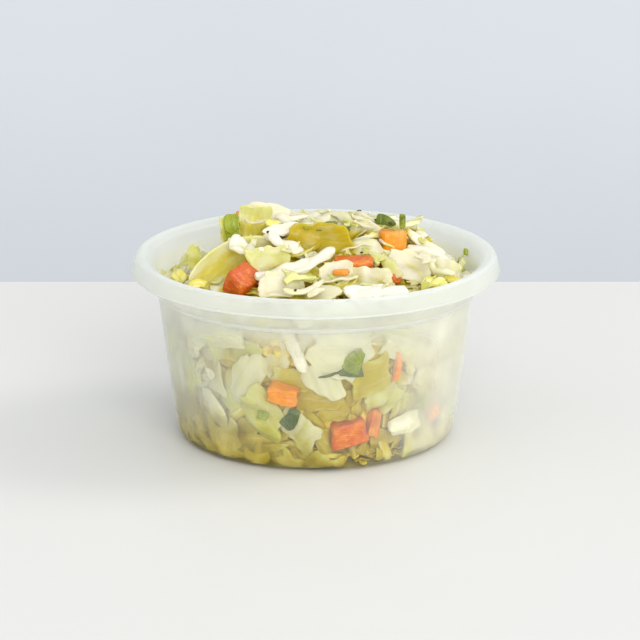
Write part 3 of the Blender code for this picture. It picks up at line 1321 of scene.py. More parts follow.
CUTS: dict[Kind, dict[str, Union[Draw, float]]] = {
    # A chip of thin leaf.
    Kind.LEAF: dict(
        length=Draw(4.5, 9.5, MM), width=Draw(0.35, 0.75, "length"), thickness=Draw(0.4, 0.8, MM),
        rounding=Draw(0.0, 0.6), ragged=Draw(0.08, 0.2), skew=0.34, bend=Draw(-0.12, 0.32, "length"),
        hollow=Draw(-0.12, 0.45, "width"), sweep=Draw(-0.14, 0.14, "length"), twist=Draw(-60, 60, DEGREE),
        ruffle=Draw(0.0, 0.6, MM), ridge=Draw(-1.6, 0.9, MM), rows=11, columns=9, tone=Draw(0.0, 0.7),
    ),
    # A small curled bit of leaf.
    Kind.SCRAP: dict(
        length=Draw(2.5, 6.5, MM), width=Draw(0.35, 0.8, "length"), thickness=Draw(0.35, 0.7, MM),
        rounding=Draw(0.0, 0.6), ragged=Draw(0.1, 0.22), skew=0.4, bend=Draw(-0.2, 0.4, "length"),
        hollow=Draw(-0.2, 0.5, "width"), sweep=Draw(-0.25, 0.25, "length"), twist=Draw(-80, 80, DEGREE),
        taper=Draw(-0.5, 0.5), rows=8, columns=6, tone=Draw(0.0, 0.8),
    ),
    # A flat strip of leaf that narrows and swings, as lies pressed against the wall.
    Kind.SHARD: dict(
        length=Draw(5.0, 11.5, MM), width=Draw(0.28, 0.6, "length"), thickness=Draw(0.35, 0.7, MM),
        rounding=Draw(0.0, 0.5), ragged=Draw(0.08, 0.2), skew=0.4, bend=Draw(-0.03, 0.05, "length"),
        hollow=Draw(-0.05, 0.08, "width"), sweep=Draw(-0.22, 0.22, "length"), twist=Draw(-15, 15, DEGREE),
        ruffle=Draw(0.0, 0.4, MM), taper=Draw(-0.6, 0.6), ridge=Draw(-1.2, 0.7, MM), rows=12, columns=7,
        tone=Draw(0.0, 0.9),
    ),
    # A thick piece of the white rib.
    Kind.RIB: dict(
        length=Draw(6.0, 13.0, MM), width=Draw(2.8, 5.5, MM), thickness=Draw(1.3, 2.6, MM),
        rounding=Draw(0.1, 0.5), ragged=0.04, skew=0.2, bend=Draw(-0.06, 0.1, "length"),
        sweep=Draw(-0.12, 0.12, "length"), twist=Draw(-25, 25, DEGREE), belly=0.55, rows=10, columns=6,
        tone=Draw(0.0, 0.45),
    ),
    # A long narrow strip.
    Kind.SHRED: dict(
        length=Draw(10.0, 22.0, MM), width=Draw(1.5, 3.2, MM), thickness=Draw(0.8, 1.5, MM),
        rounding=Draw(0.2, 0.6), ragged=0.03, bend=Draw(-0.12, 0.14, "length"),
        sweep=Draw(-0.2, 0.2, "length"), twist=Draw(-70, 70, DEGREE), taper=Draw(-0.3, 0.3), belly=0.4,
        rows=16, columns=4, tone=Draw(0.0, 0.7),
    ),
    # A bit of green leaf.
    Kind.GREEN: dict(
        length=Draw(1.8, 5.0, MM), width=Draw(0.3, 0.75, "length"), thickness=Draw(0.3, 0.6, MM),
        rounding=Draw(0.2, 0.7), ragged=0.12, skew=0.3, bend=Draw(-0.2, 0.2, "length"),
        hollow=Draw(-0.1, 0.1, "length"), ruffle=0.3 * MM, rows=7, columns=6, tone=Draw(0.0, 1.0),
    ),
    # A dice or a short stick of carrot.
    Kind.CARROT: dict(
        length=Draw(3.5, 6.5, MM), width=Draw(0.45, 0.9, "length"), thickness=Draw(0.35, 0.75, "length"),
        rounding=Draw(0.1, 0.35), ragged=0.03, skew=0.22, rows=7, tone=Draw(0.1, 0.9),
    ),
}


class Chopper:
    """Cuts random pieces of each kind at the sizes that a coarse chop gives."""

    def __init__(self, dice: np.random.Generator) -> None:
        """Takes the source of randomness."""
        self.dice = dice

    def between(self, low: float, high: float) -> float:
        """Draws a number between two."""
        return float(self.dice.uniform(low, high))

    def spot(self, reach: float) -> tuple[np.ndarray, float]:
        """Draws a spot near the middle.

        Args:
            reach: How far from the middle it may be.

        Returns:
            The spot and its azimuth.
        """
        distance = reach * math.sqrt(self.between(0, 1))
        turn = self.between(0, 2 * math.pi)
        return np.array([distance * math.cos(turn), distance * math.sin(turn)]), turn

    def cut(self, kind: Kind) -> Cut:
        """Cuts a piece, with its numbers drawn in the order in which they are listed.

        Args:
            kind: Its kind.

        Returns:
            The piece.
        """
        form: dict[str, float] = {}
        for name, value in CUTS[kind].items():
            if isinstance(value, Draw):
                value = self.between(value.low, value.high) * form.get(value.unit, value.unit)
            form[name] = value
        form["ridge"] = max(0.0, form.get("ridge", 0.0))
        return Cut(**form)

    def pick(self, shares: dict[Kind, float]) -> tuple[Kind, Cut]:
        """Cuts a piece of a random kind.

        Args:
            shares: How often each kind comes up.

        Returns:
            The kind and the piece.
        """
        kinds = list(shares)
        weights = np.array([shares[kind] for kind in kinds])
        kind = kinds[int(self.dice.choice(len(kinds), p=weights / weights.sum()))]
        return kind, self.cut(kind)


# How many points the listed pieces have along and across.
HERO_GRIDS = {
    Kind.LEAF: (20, 17),
    Kind.SHARD: (16, 13),
    Kind.RIB: (14, 10),
    Kind.SHRED: (20, 6),
    Kind.GREEN: (10, 9),
}
# The fields of a form that are lengths.
LENGTHS = ("bend", "hollow", "sweep", "ruffle", "ridge", "crinkle")


@dataclass
class Hero:
    """One listed piece, in millimetres and degrees.

    On the heap, its spot is x and y. On the wall, it is the azimuth and the height above the foot, and
    heading is measured from the wall's right-hand direction, seen from outside. Where height is set, its
    middle is there. The form holds further fields of its cut.
    """

    kind: Kind
    spot: tuple[float, float]
    size: tuple[float, float, float]
    heading: float = 0.0
    rise: float = 0.0
    roll: float = 0.0
    height: Optional[float] = None
    tone: float = 0.3
    soak: float = 0.15
    sunk: float = 0.5
    limp: float = 0.2
    bare: bool = False
    form: dict[str, float] = field(default_factory=dict)

    def dice(self) -> np.random.Generator:
        """Gives its own source of irregularities, fixed by its spot."""
        return np.random.default_rng([SEED, *(int(10 * abs(value)) for value in self.spot)])

    def shown(self) -> bool:
        """Tells whether nothing may lie over it, as over the coloured ones."""
        return self.bare or self.kind in (Kind.CARROT, Kind.GREEN)

    def cut(self) -> Cut:
        """Turns its size and form into metres.

        Returns:
            Its cut.
        """
        rows, columns = HERO_GRIDS.get(self.kind, (8, 8))
        form = {"rows": rows, "columns": columns, "skew": 0.15, "ragged": 0.08, "crinkle": 0.22, **self.form}
        form = {name: value * MM if name in LENGTHS else value for name, value in form.items()}
        size = (value * MM for value in self.size)
        return Cut(*size, tone=self.tone, soak=self.soak, sunk=self.sunk, **form)

    def lay(self, a: float, b: float) -> Lay:
        """Turns how it lies into metres and radians.

        Args:
            a: Its spot's first coordinate on the bed.
            b: The second one.

        Returns:
            How it lies there.
        """
        turns = [angle * DEGREE for angle in (self.heading, self.rise, self.roll)]
        height = None if self.height is None else self.height * MM
        return Lay(a, b, *turns, height=height, limp=self.limp)


def placed(*given: Any, **named: Any) -> Hero:
    """Places one piece, given by the hero's fields in order, and by name those and the fields of its form."""
    own = {name: named.pop(name) for name in ("tone", "soak", "sunk", "bare") if name in named}
    return Hero(*given, **own, form=named)


def heap_heroes() -> list[Hero]:
    """Lists the pieces that give the top of the heap its face, each laid over the ones before it.

    Returns:
        The pieces, in the order in which they are laid.
    """
    leaf, scrap, rib, shred = Kind.LEAF, Kind.SCRAP, Kind.RIB, Kind.SHRED
    carrot, green = Kind.CARROT, Kind.GREEN
    return [
        # The crest, from left to right.
        placed(leaf, (-17.2, 1.0), (6.6, 4.0, 0.6), 98, 74, 6, 40.9, 0.8, -0.2, hollow=0.9, taper=-0.3),
        placed(green, (-16.6, 0.0), (6.2, 3.6, 0.5), 94, 72, -8, 41.8, 1.1, hollow=0.4, ragged=0.08),
        placed(leaf, (-12.1, 1.0), (7.0, 6.0, 0.8), 88, 78, 0, 42.8, 0.6, 0.1, bare=True, bend=0.6,
               rounding=0.1),
        placed(leaf, (-9.6, 3.4), (9.5, 4.6, 0.9), 6, -8, 40, 43.9, 0.05, -0.1, ruffle=0.66, hollow=0.8,
               ragged=0.08),
        placed(scrap, (-4.6, 4.6), (5.4, 3.8, 0.8), -20, 6, 34, 43.2, 0.2, 0.0),
        placed(scrap, (-1.0, 5.4), (4.8, 3.8, 0.8), 44, -8, 30, 42.8, 0.1, -0.1),
        placed(scrap, (2.6, 4.4), (5.2, 3.6, 0.9), -34, 0, 34, 42.8, 0.3, 0.0),
        placed(scrap, (0.6, 2.0), (4.6, 3.0, 0.8), 14, 4, 30, 42.8, 0.1, -0.1),
        placed(rib, (5.4, 3.6), (9.5, 3.4, 1.8), -14, -6, 30, 42.0, 0.1, 0.0),
        placed(leaf, (8.4, 0.4), (10.0, 5.4, 1.0), -30, -10, 44, 41.0, 0.15, 0.0, ruffle=0.55, hollow=1.2,
               ragged=0.08),
        placed(leaf, (10.0, 3.4), (9.0, 4.6, 1.0), -32, -8, 36, 41.6, 0.1, -0.2, hollow=1.0, ragged=0.06),
        # The golden hollow in the middle, with green bits along its upper edge.
        placed(leaf, (0.8, -8.4), (12.0, 8.4, 0.8), -10, 0, 56, 40.6, 0.9, 1.2, sunk=1.0, bare=True,
               hollow=2.0, bend=1.2, rounding=0.7),
        placed(rib, (-4.6, -3.4), (11.0, 2.6, 1.4), 4, 2, 25, 43.2, 0.2, 0.0),
        placed(green, (2.2, -6.6), (4.8, 1.9, 0.5), 10, 4, 40, 44.5, 0.5),
        placed(green, (5.6, -6.4), (3.0, 1.5, 0.5), -28, 0, 40, 43.8, 0.3),
        placed(green, (-1.6, -6.8), (2.4, 1.3, 0.5), 30, 0, 30, 44.2, 0.9),
        # Carrots and the leaf that arches over the middle one.
        placed(carrot, (-14.2, -17.0), (6.4, 5.2, 4.8), 62, 12, 30, 36.2, 0.1, rounding=0.22),
        placed(carrot, (7.6, -14.0), (7.0, 3.8, 2.6), 3, 0, 14, 38.9, 0.3, rounding=0.2),
        placed(leaf, (10.0, -9.6), (9.5, 5.4, 0.7), -24, -16, 26, 41.2, 0.3, 0.15, bend=-1.6, hollow=-0.6,
               ragged=0.1),
        placed(carrot, (15.4, -3.6), (5.2, 5.2, 5.0), 80, 82, 12, 40.3, 1.0, rounding=0.3),
        placed(carrot, (15.2, -13.4), (3.0, 2.2, 2.0), 20, 0, 0, 35.6, 0.05),
        placed(green, (14.0, 1.0), (3.8, 1.9, 0.5), -30, -8, 50, 43.6, 0.35),
        placed(green, (17.4, 0.0), (3.0, 1.0, 0.6), 92, 82, 0, 43.8, 0.6),
        # The long curved leaf on the left, hollow side to the front.
        placed(leaf, (-14.6, -7.6), (22.0, 7.6, 1.1), 19, 11, 56, 38.2, 0.5, 0.05, sweep=-4.0, hollow=2.0,
               rounding=0.4, ragged=0.03, crinkle=0.1),
        # Pale chips and fingers across the front.
        placed(leaf, (-9.3, -14.2), (7.8, 7.0, 0.9), 14, 4, 62, 38.8, 0.6, 0.1, bare=True, rounding=0.05,
               bend=0.6),
        placed(shred, (-4.6, -10.6), (10.0, 2.4, 1.4), -14, -22, 20, 41.0, 0.05, 0.0, sweep=0.8, ragged=0.03),
        placed(shred, (-3.0, -17.0), (17.0, 2.5, 1.7), 24, 13, 20, 38.9, 0.05, 0.0, sweep=1.2, ragged=0.03),
        placed(leaf, (3.8, -18.8), (7.6, 4.6, 0.8), 18, 8, 34, 37.4, 0.25, 0.05, ruffle=0.72, hollow=1.4,
               ragged=0.08),
        placed(leaf, (10.4, -19.0), (8.4, 4.6, 0.9), -14, -6, 40, 36.6, 0.3, 0.1, ruffle=0.72, hollow=1.6,
               ragged=0.08),
        placed(leaf, (-6.4, -22.6), (9.0, 6.0, 0.8), 24, 0, 36, 36.0, 0.2, -0.3, hollow=1.8, ruffle=0.55,
               rounding=0.7),
        placed(rib, (11.6, -24.0), (11.0, 3.8, 1.7), 4, 0, 30, 35.6, 0.1, 0.1),
        placed(leaf, (1.4, -24.8), (6.0, 4.0, 0.8), -30, 0, 30, 35.8, 0.2, 0.1, ruffle=0.44),
        # The right flank.
        placed(leaf, (18.2, -10.6), (9.4, 6.2, 0.9), -12, -10, 44, 37.0, 0.2, 0.0, ruffle=0.66, hollow=1.0,
               ragged=0.08),
        placed(shred, (22.0, -1.0), (9.0, 2.0, 1.1), -28, -22, 20, 39.2, 0.15, 0.1),
        placed(shred, (23.6, -4.6), (11.0, 2.3, 1.2), -22, -20, 20, 38.0, 0.05, 0.0, sweep=-1.0),
        placed(leaf, (24.4, -9.4), (9.0, 4.6, 0.8), -18, -14, 40, 36.8, 0.3, 0.1, ruffle=0.5),
        placed(rib, (23.4, -16.6), (4.4, 2.2, 1.2), 12, 0, 30, 35.6, 0.9, 0.6),
        placed(rib, (27.4, -13.4), (4.6, 2.0, 1.3), 16, 0, 20, 35.4, 0.95, 0.9),
        # Small ones against the inside of the rim and in the gaps.
        placed(rib, (-23.2, -15.0), (3.4, 1.8, 1.2), 20, 0, 20, 34.8, 0.9, 0.8),
        placed(carrot, (5.0, -19.6), (3.0, 1.2, 1.0), 0, 0, 0, 38.6, 0.8),
        placed(rib, (-8.6, -2.4), (2.6, 1.8, 1.0), 10, 0, 30, 44.0, 1.0, 0.6),
        placed(rib, (-27.2, -4.2), (3.8, 2.4, 1.5), 70, 10, 20, 33.6, 0.9, 0.7),
        placed(leaf, (-24.4, 0.0), (5.6, 2.4, 0.5), 96, 70, 0, 36.0, 0.8, 0.0),
        placed(green, (30.6, 8.6), (1.3, 1.0, 0.4), 96, 70, 0, 35.2, 0.95),
        # The far side.
        placed(carrot, (4.0, 27.5), (6.0, 4.0, 2.6), 30, 0, 0, 35.6, 0.5, rounding=0.25),
        placed(carrot, (-13.5, 15.5), (6.0, 4.6, 3.6), 110, 0, 10, tone=0.8, rounding=0.3),
        placed(carrot, (-5.0, 26.0), (6.4, 3.4, 3.0), 10, 0, 0, tone=0.6, rounding=0.2),
        placed(green, (-8.5, 21.0), (6.0, 4.0, 0.6), 60, 10, 20, tone=0.4, hollow=0.6),
        placed(green, (12.5, 23.0), (4.6, 3.0, 0.5), 130, 0, -20, tone=0.1),
        placed(green, (-21.0, 10.0), (4.0, 2.4, 0.5), 80, 12, 10, tone=0.7),
    ]


def wall_heroes() -> list[Hero]:
    """Lists the pieces pressed against the wall that show best, each laid behind the ones before it.

    Returns:
        The pieces, in the order in which they are laid.
    """
    leaf, rib, shred, carrot, green = Kind.SHARD, Kind.RIB, Kind.SHRED, Kind.CARROT, Kind.GREEN
    front = [
        placed(green, (-75.4, 23.2), (4.8, 3.6, 0.5), 62, tone=0.7, taper=0.35),
        placed(green, (-76.6, 21.0), (5.0, 2.2, 0.5), 12, tone=0.2, taper=-0.5),
        placed(green, (-83.5, 20.4), (5.2, 0.6, 0.4), 10, tone=0.1, taper=-0.6),
        placed(green, (-99.6, 11.2), (4.4, 3.2, 0.5), 62, tone=-0.1, taper=0.3),
        placed(green, (-111.0, 11.6), (2.2, 1.7, 0.4), 0, tone=1.0),
        placed(carrot, (-103.0, 15.8), (6.4, 3.9, 3.4), -6, tone=0.9, rounding=0.2),
        placed(leaf, (-81.0, 24.4), (11.5, 9.6, 0.9), -30, tone=-0.2, soak=-0.3),
        placed(leaf, (-111.6, 11.2), (11.0, 7.0, 1.0), -48, tone=0.65, soak=0.3, hollow=0.9, rounding=0.5),
        placed(leaf, (-86.4, 18.2), (11.0, 5.4, 0.9), -46, tone=0.05, soak=-0.1, taper=0.35),
        placed(leaf, (-97.6, 8.8), (11.0, 5.6, 1.0), -38, tone=0.35, soak=0.15, taper=-0.2),
        placed(leaf, (-95.4, 18.6), (12.0, 5.0, 1.0), 2, tone=0.4, soak=0.3),
        placed(shred, (-97.5, 25.4), (9.0, 2.4, 1.0), -66, tone=0.1, soak=0.05),
        placed(leaf, (-105.5, 22.4), (9.0, 5.5, 1.0), 78, tone=0.1, soak=-0.1),
        placed(leaf, (-128.0, 27.6), (11.0, 5.4, 0.9), 4, tone=0.2, soak=0.0),
        placed(leaf, (-118.0, 18.4), (12.0, 7.0, 1.0), 60, tone=0.2, soak=-0.1),
        placed(carrot, (-76.0, 7.4), (8.8, 5.0, 4.0), 8, tone=0.32, rounding=0.15),
        placed(carrot, (-65.0, 9.2), (5.8, 2.8, 3.0), 80, tone=0.6, rounding=0.2),
        placed(carrot, (-57.0, 20.6), (6.0, 1.2, 1.4), 84, tone=0.85, sweep=0.4),
        placed(carrot, (-33.6, 8.8), (3.6, 3.0, 2.6), 20, tone=0.8),
        placed(green, (-42.0, 11.8), (3.6, 2.4, 0.5), 40, tone=0.9),
        placed(leaf, (-68.4, 19.2), (10.0, 7.0, 1.0), 20, tone=0.95, soak=0.8, rounding=0.4),
        placed(leaf, (-56.5, 24.6), (8.0, 5.0, 1.0), -20, tone=0.3, soak=0.15),
        placed(leaf, (-87.6, 14.6), (10.0, 5.0, 1.0), 0, tone=1.0, soak=0.85),
        placed(leaf, (-62.0, 13.8), (9.0, 6.5, 1.0), 30, tone=0.5, soak=0.2),
        placed(rib, (-50.0, 8.0), (9.0, 4.4, 1.6), 10, tone=0.4, soak=0.05),
    ]
    coloured = [hero for hero in front if hero.kind in (carrot, green)]
    back = [replace(hero, spot=(-hero.spot[0], hero.spot[1]), heading=-hero.heading) for hero in coloured]
    sides = [
        placed(carrot, (14.0, 20.0), (6.0, 4.0, 3.4), 40, tone=0.4, rounding=0.2),
        placed(carrot, (158.0, 12.0), (7.4, 4.4, 3.6), 15, tone=0.6, rounding=0.2),
        placed(green, (166.0, 23.0), (5.0, 3.6, 0.6), 70, tone=0.3),
    ]
    return front + back + sides


# ---- The salad ----

CELL = 0.4 * MM
BASE_MIX = {Kind.SHARD: 0.62, Kind.RIB: 0.14, Kind.SHRED: 0.15, Kind.GREEN: 0.05, Kind.CARROT: 0.04}
WALL_MIX = {Kind.SHARD: 0.5, Kind.SCRAP: 0.28, Kind.RIB: 0.06, Kind.SHRED: 0.16}
STREWN_MIX = {Kind.SCRAP: 0.6, Kind.SHRED: 0.4}
FINISHES = {
    Kind.LEAF: CabbageFinish("cabbage_leaf_flesh"),
    Kind.SHARD: CabbageFinish(
        "cabbage_shard_flesh",
        pale=paint(250, 250, 222),
        green=paint(228, 230, 124),
        golden=paint(222, 208, 56),
        rim_pale=0.6,
    ),
    Kind.SCRAP: CabbageFinish("cabbage_scrap_flesh", fibrous=0.35),
    Kind.RIB: CabbageFinish("cabbage_rib_flesh", fibrous=0.6, glow=0.2),
    Kind.SHRED: CabbageFinish("cabbage_shred_flesh", fibrous=0.45, glow=0.3),
    Kind.CARROT: CarrotFinish(),
    Kind.GREEN: GreenFinish(),
    Kind.PEPPER: PepperFinish(),
}


@dataclass(frozen=True)
class Filling:
    """One round of filling a bed: how often each kind comes up, its usual slope and the most pieces."""

    shares: dict[Kind, float]
    lean: float
    most: int


BASE_ROUND = Filling(BASE_MIX, 5 * DEGREE, 120)
FOOT_ROUND = Filling(WALL_MIX, 4 * DEGREE, 140)
WALL_ROUND = Filling(WALL_MIX, 5 * DEGREE, 460)
FIRST_ROUND = Filling({Kind.LEAF: 0.6, Kind.RIB: 0.12, Kind.SHRED: 0.28}, 20 * DEGREE, 420)
SECOND_ROUND = Filling({Kind.LEAF: 0.34, Kind.SCRAP: 0.36, Kind.SHRED: 0.3}, 26 * DEGREE, 300)


def off(values: np.ndarray, middle: float, width: float) -> np.ndarray:
    """Gives how far values lie from a middle: the square of their distance in widths."""
    return ((values - middle) / width) ** 2


@dataclass
class Salad:
    """The coleslaw: pieces laid on the base, round the wall and over the top of a small core.

    Its outline comes from the frame's own heap. Depths are how far the core stays below that outline,
    the wall and the floor. Dressing is given as shares, from none at 0 to soaked at about 1: pieces are
    left pale in the skins under the crest and behind the wall, and soaked one reach deeper, where the
    golden they are given is partly painted shade for the gaps between pieces.
    """

    cup: Cup
    reach: float = 36 * MM
    edge_radius: float = 31 * MM
    top_radius: float = 29 * MM
    speck_radius: float = 28 * MM
    strewn_radius: float = 27 * MM
    base_radius: float = 22 * MM
    top_depth: float = 5.5 * MM
    first_depth: float = 3.2 * MM
    second_depth: float = 2.2 * MM
    wall_depth: float = 3.0 * MM
    base_depth: float = 3.0 * MM
    hollow_depth: float = 2.0 * MM
    headroom: float = 0.3 * MM
    second_headroom: float = 1.2 * MM
    crest_skin: float = 1.1 * MM
    crest_reach: float = 3.4 * MM
    wall_skin: float = 0.4 * MM
    wall_reach: float = 2.8 * MM
    floor_reach: float = 2.0 * MM
    least_under: float = 0.8 * MM
    full_under: float = 3 * MM
    foot_band: float = 7 * MM
    drained_to: float = 11 * MM
    into_wall: float = 0.12 * MM
    wall_top: float = 36.5 * MM
    film_top: float = 34.5 * MM
    relief: float = 0.35 * MM
    core_steps: int = 128
    film_steps: int = 160
    film_rows: int = 48
    # How strongly lying deep turns pieces golden: partly dressing, partly painted shade.
    depth_shade_and_dressing: float = 1.5
    strewn_top: float = 45.6 * MM
    strewn: int = 130
    strewn_size: float = 0.6
    strewn_curl: float = 0.3
    specks: int = 9
    tries: int = 26
    most_misses: int = 90
    chopper: Chopper = field(default_factory=lambda: Chopper(np.random.default_rng(SEED)))
    batches: dict[Kind, Batch] = field(default_factory=lambda: {kind: Batch(kind) for kind in Kind})
    outline: np.ndarray = field(init=False)
    crest: np.ndarray = field(init=False)
    heap: HeapBed = field(init=False)
    wall: WallBed = field(init=False)

    def measure(self, node: bpy.types.Object) -> None:
        """Reads the heap's outline from the frame and makes the beds.

        Args:
            node: The frame's own solid for the heap.
        """
        corners = [vertex.co for vertex in node.data.vertices]
        tree = BVHTree.FromPolygons(corners, [tuple(face.vertices) for face in node.data.polygons])
        coarseness = 3
        x, y = HeapBed(self.cup, self.reach, coarseness * CELL).grid()
        inside = np.minimum(1.0, self.edge_radius / np.maximum(np.hypot(x, y), MM))
        heights = np.zeros_like(x)
        above, down = 80 * MM, Vector((0, 0, -1))
        for index in np.ndindex(x.shape):
            start = Vector((x[index] * inside[index], y[index] * inside[index], above))
            heights[index] = tree.ray_cast(start, down)[0].z
        self.outline = finer(soften(heights, 6), coarseness)
        self.heap = HeapBed(self.cup, self.reach, CELL)
        self.heap.start(self.outline - self.top_depth)
        self.wall = WallBed(self.cup, self.wall_top, CELL)
        self.wall.start(np.full(self.wall.shape, -self.into_wall))

    def edge(self, azimuth: np.ndarray) -> np.ndarray:
        """Gives the height at which the heap meets the wall."""
        x, y = self.edge_radius * np.cos(azimuth), self.edge_radius * np.sin(azimuth)
        return self.outline[self.heap.cells(x, y)]

    def put(
        self,
        kind: Kind,
        cut: Cut,
        lay: Lay,
        bed: Bed,
        ceiling: Optional[np.ndarray] = None,
        dice: Optional[np.random.Generator] = None,
    ) -> bool:
        """Lays one piece on a bed and adds it to its kind's batch.

        Args:
            kind: What it is.
            cut: Its size and form.
            lay: Where and how it lies.
            bed: What it lies on.
            ceiling: Heights that it may not pass, if any.
            dice: The source of its irregularities, if not the salad's own.

        Returns:
            Whether it found a place.
        """
        before = bed.level.copy()
        make = make_block if kind in BLOCKS else make_slice
        solid = make(cut, lay, bed, dice or self.chopper.dice)
        if ceiling is not None:
            raised = bed.level > before
            if np.any(bed.level[raised] > ceiling[raised]):
                bed.level = before
                return False
        self.batches[kind].add(solid, cut)
        return True

    def put_hero(self, hero: Hero, a: float, b: float, bed: Bed) -> None:
        """Lays one listed piece at a spot of a bed."""
        self.put(hero.kind, hero.cut(), hero.lay(a, b), bed, dice=hero.dice())

    def fill(
        self,
        bed: Bed,
        goal: np.ndarray,
        filling: Filling,
        wet: np.ndarray,
        ceiling: Optional[np.ndarray] = None,
    ) -> int:
        """Lays random pieces where a bed is furthest below its goal, until it is full.

        Args:
            bed: The bed.
            goal: The height wanted in each of its cells, or NaN where nothing goes.
            filling: Which pieces are laid, and how many at most.
            wet: The share of dressing in the pieces over each cell.
            ceiling: Heights that no piece may pass, if any.

        Returns:
            How many pieces were laid.
        """
        dice = self.chopper.dice
        free = np.argwhere(np.isfinite(goal))
        laid, misses, shallow = 0, 0.0, 0.5 * MM
        while laid < filling.most and misses < self.most_misses:
            tries = free[dice.integers(0, len(free), self.tries)]
            short = goal[tuple(tries.T)] - bed.level[tuple(tries.T)]
            best = int(np.argmax(short))
            if short[best] < shallow:
                misses += 1
                continue
            cell = tries[best]
            kind, cut = self.chopper.pick(filling.shares)
            cut.soak = float(wet[tuple(cell)]) + self.chopper.between(-0.2, 0.2)
            slopes = dice.normal(0, filling.lean, 2)
            spot = (float(value) for value in bed.low + bed.cell * cell)
            lay = Lay(*spot, self.chopper.between(0, 2 * math.pi), *slopes)
            if self.put(kind, cut, lay, bed, ceiling):
                laid += 1
            else:
                misses += 0.2
        return laid

    def lay_base(self) -> None:
        """Covers the cup's floor."""
        bed = HeapBed(self.cup, self.cup.foot_outer_radius, CELL)
        radius = np.hypot(*bed.grid())
        under = self.cup.inner[: self.cup.floor_points]
        floor = np.interp(radius, under[:, 0], under[:, 1])
        bed.start(floor - self.into_wall)
        goal = np.where(radius < self.base_radius, floor + self.base_depth, np.nan)
        count = self.fill(bed, goal, BASE_ROUND, np.full(bed.shape, 0.65))
        LOG.info("base: %d pieces", count)

    def lay_wall(self) -> None:
        """Lines the wall, the listed pieces first, because the outermost show.

        Dressing stands at the foot, in the middle of the front and in patches. The pieces are made paler
        at the sides and towards the top as painted light, to lighten the sides and the band in the rim's
        shade.
        """
        for hero in wall_heroes():
            spot = self.wall.spot(hero.spot[0] * DEGREE, hero.spot[1] * MM)
            self.put_hero(hero, *spot, self.wall)
        a, b = self.wall.grid()
        turn = a / self.wall.radius
        height = np.interp(b, self.wall.along, self.wall.profile[:, 1])
        under = self.edge(turn) - height
        depth = self.wall_depth * np.clip(under / self.full_under, 0.3, 1)
        goal = np.where(under > self.least_under, depth, np.nan)
        low = np.where(height < self.foot_band, goal, np.nan)
        foot = np.clip(1 - height / self.drained_to, 0, 1)
        patches = 0.5 + 0.5 * np.sin(a / (4.1 * MM) + 2 * np.sin(b / (3.3 * MM))) * np.sin(b / (4.7 * MM))
        front = np.exp(-off(turn, -88 * DEGREE, 24 * DEGREE) - off(height, 20 * MM, 7 * MM))
        # Painted light: less dressing, so paler pieces, at the sides and towards the top, to lighten the
        # sides and the band in the rim's shade.
        dry_and_painted_light = 0.35 * np.cos(turn) ** 2 + np.clip((height - 21 * MM) / (12 * MM), 0, 0.8)
        wet = 0.12 + 0.4 * patches**2 + 0.6 * foot + 0.6 * front - dry_and_painted_light
        ceiling = np.where(under > -1.0 * MM, np.inf, -self.into_wall)
        count = self.fill(self.wall, low, FOOT_ROUND, wet, ceiling)
        count += self.fill(self.wall, goal, WALL_ROUND, wet, ceiling)
        LOG.info("wall: %d pieces", count)

    def lay_top(self) -> None:
        """Heaps the top, sets the listed pieces on it, and strews small ones over it."""
        x, y = self.heap.grid()
        inside = np.where(np.hypot(x, y) < self.top_radius, self.outline, np.nan)
        hollow = np.exp(-off(x, 1 * MM, 7 * MM) - off(y, -9 * MM, 4 * MM))
        wet = 0.05 + 0.6 * hollow
        ceiling = self.outline + self.headroom
        count = self.fill(self.heap, inside - self.first_depth, FIRST_ROUND, wet, ceiling)
        goal = inside - self.second_depth - self.hollow_depth * hollow
        ceiling = np.maximum(ceiling, self.heap.level + self.second_headroom)
        count += self.fill(self.heap, goal, SECOND_ROUND, wet, ceiling)
        LOG.info("top: %d pieces", count)
        for hero in heap_heroes():
            self.put_hero(hero, hero.spot[0] * MM, hero.spot[1] * MM, self.heap)
        self.strew()

    def strew(self) -> None:
        """Strews small pieces loosely over the heap, where they hide nothing that must show."""
        kept = np.array([hero.spot for hero in heap_heroes() if hero.shown()]) * MM
        ceiling = self.strewn_top - 0.3 * np.maximum(self.heap.grid()[1] - 2 * MM, 0)
        for _ in range(self.strewn):
            spot, _ = self.chopper.spot(self.strewn_radius)
            kind, cut = self.chopper.pick(STREWN_MIX)
            cut.length *= self.strewn_size
            cut.width *= self.strewn_size
            cut.bend *= self.strewn_curl
            cut.hollow *= self.strewn_curl
            cut.twist *= self.strewn_curl
            cut.soak = self.chopper.between(-0.3, 0.3)
            slopes = self.chopper.dice.normal(0, 10 * DEGREE, 2)
            room = np.array([0.5 * cut.length + 2.5 * MM, 6 * MM])
            if np.hypot(*((spot + (0.0, 2 * MM) - kept) / room).T).min() > 1:
                self.put(kind, cut, Lay(*spot, self.chopper.between(0, 6.3), *slopes), self.heap, ceiling)

    def sprinkle(self) -> None:
        """Scatters specks of pepper over the heap, each a little sunk in."""
        for _ in range(self.specks):
            spot, turn = self.chopper.spot(self.speck_radius)
            size = self.chopper.between(0.35, 0.7) * MM
            cut = Cut(size * 1.2, size, size * 0.7, rounding=0.4, ragged=0.06, rows=3)
            self.put(Kind.PEPPER, cut, Lay(*spot, turn, lift=-0.25 * size), self.heap)

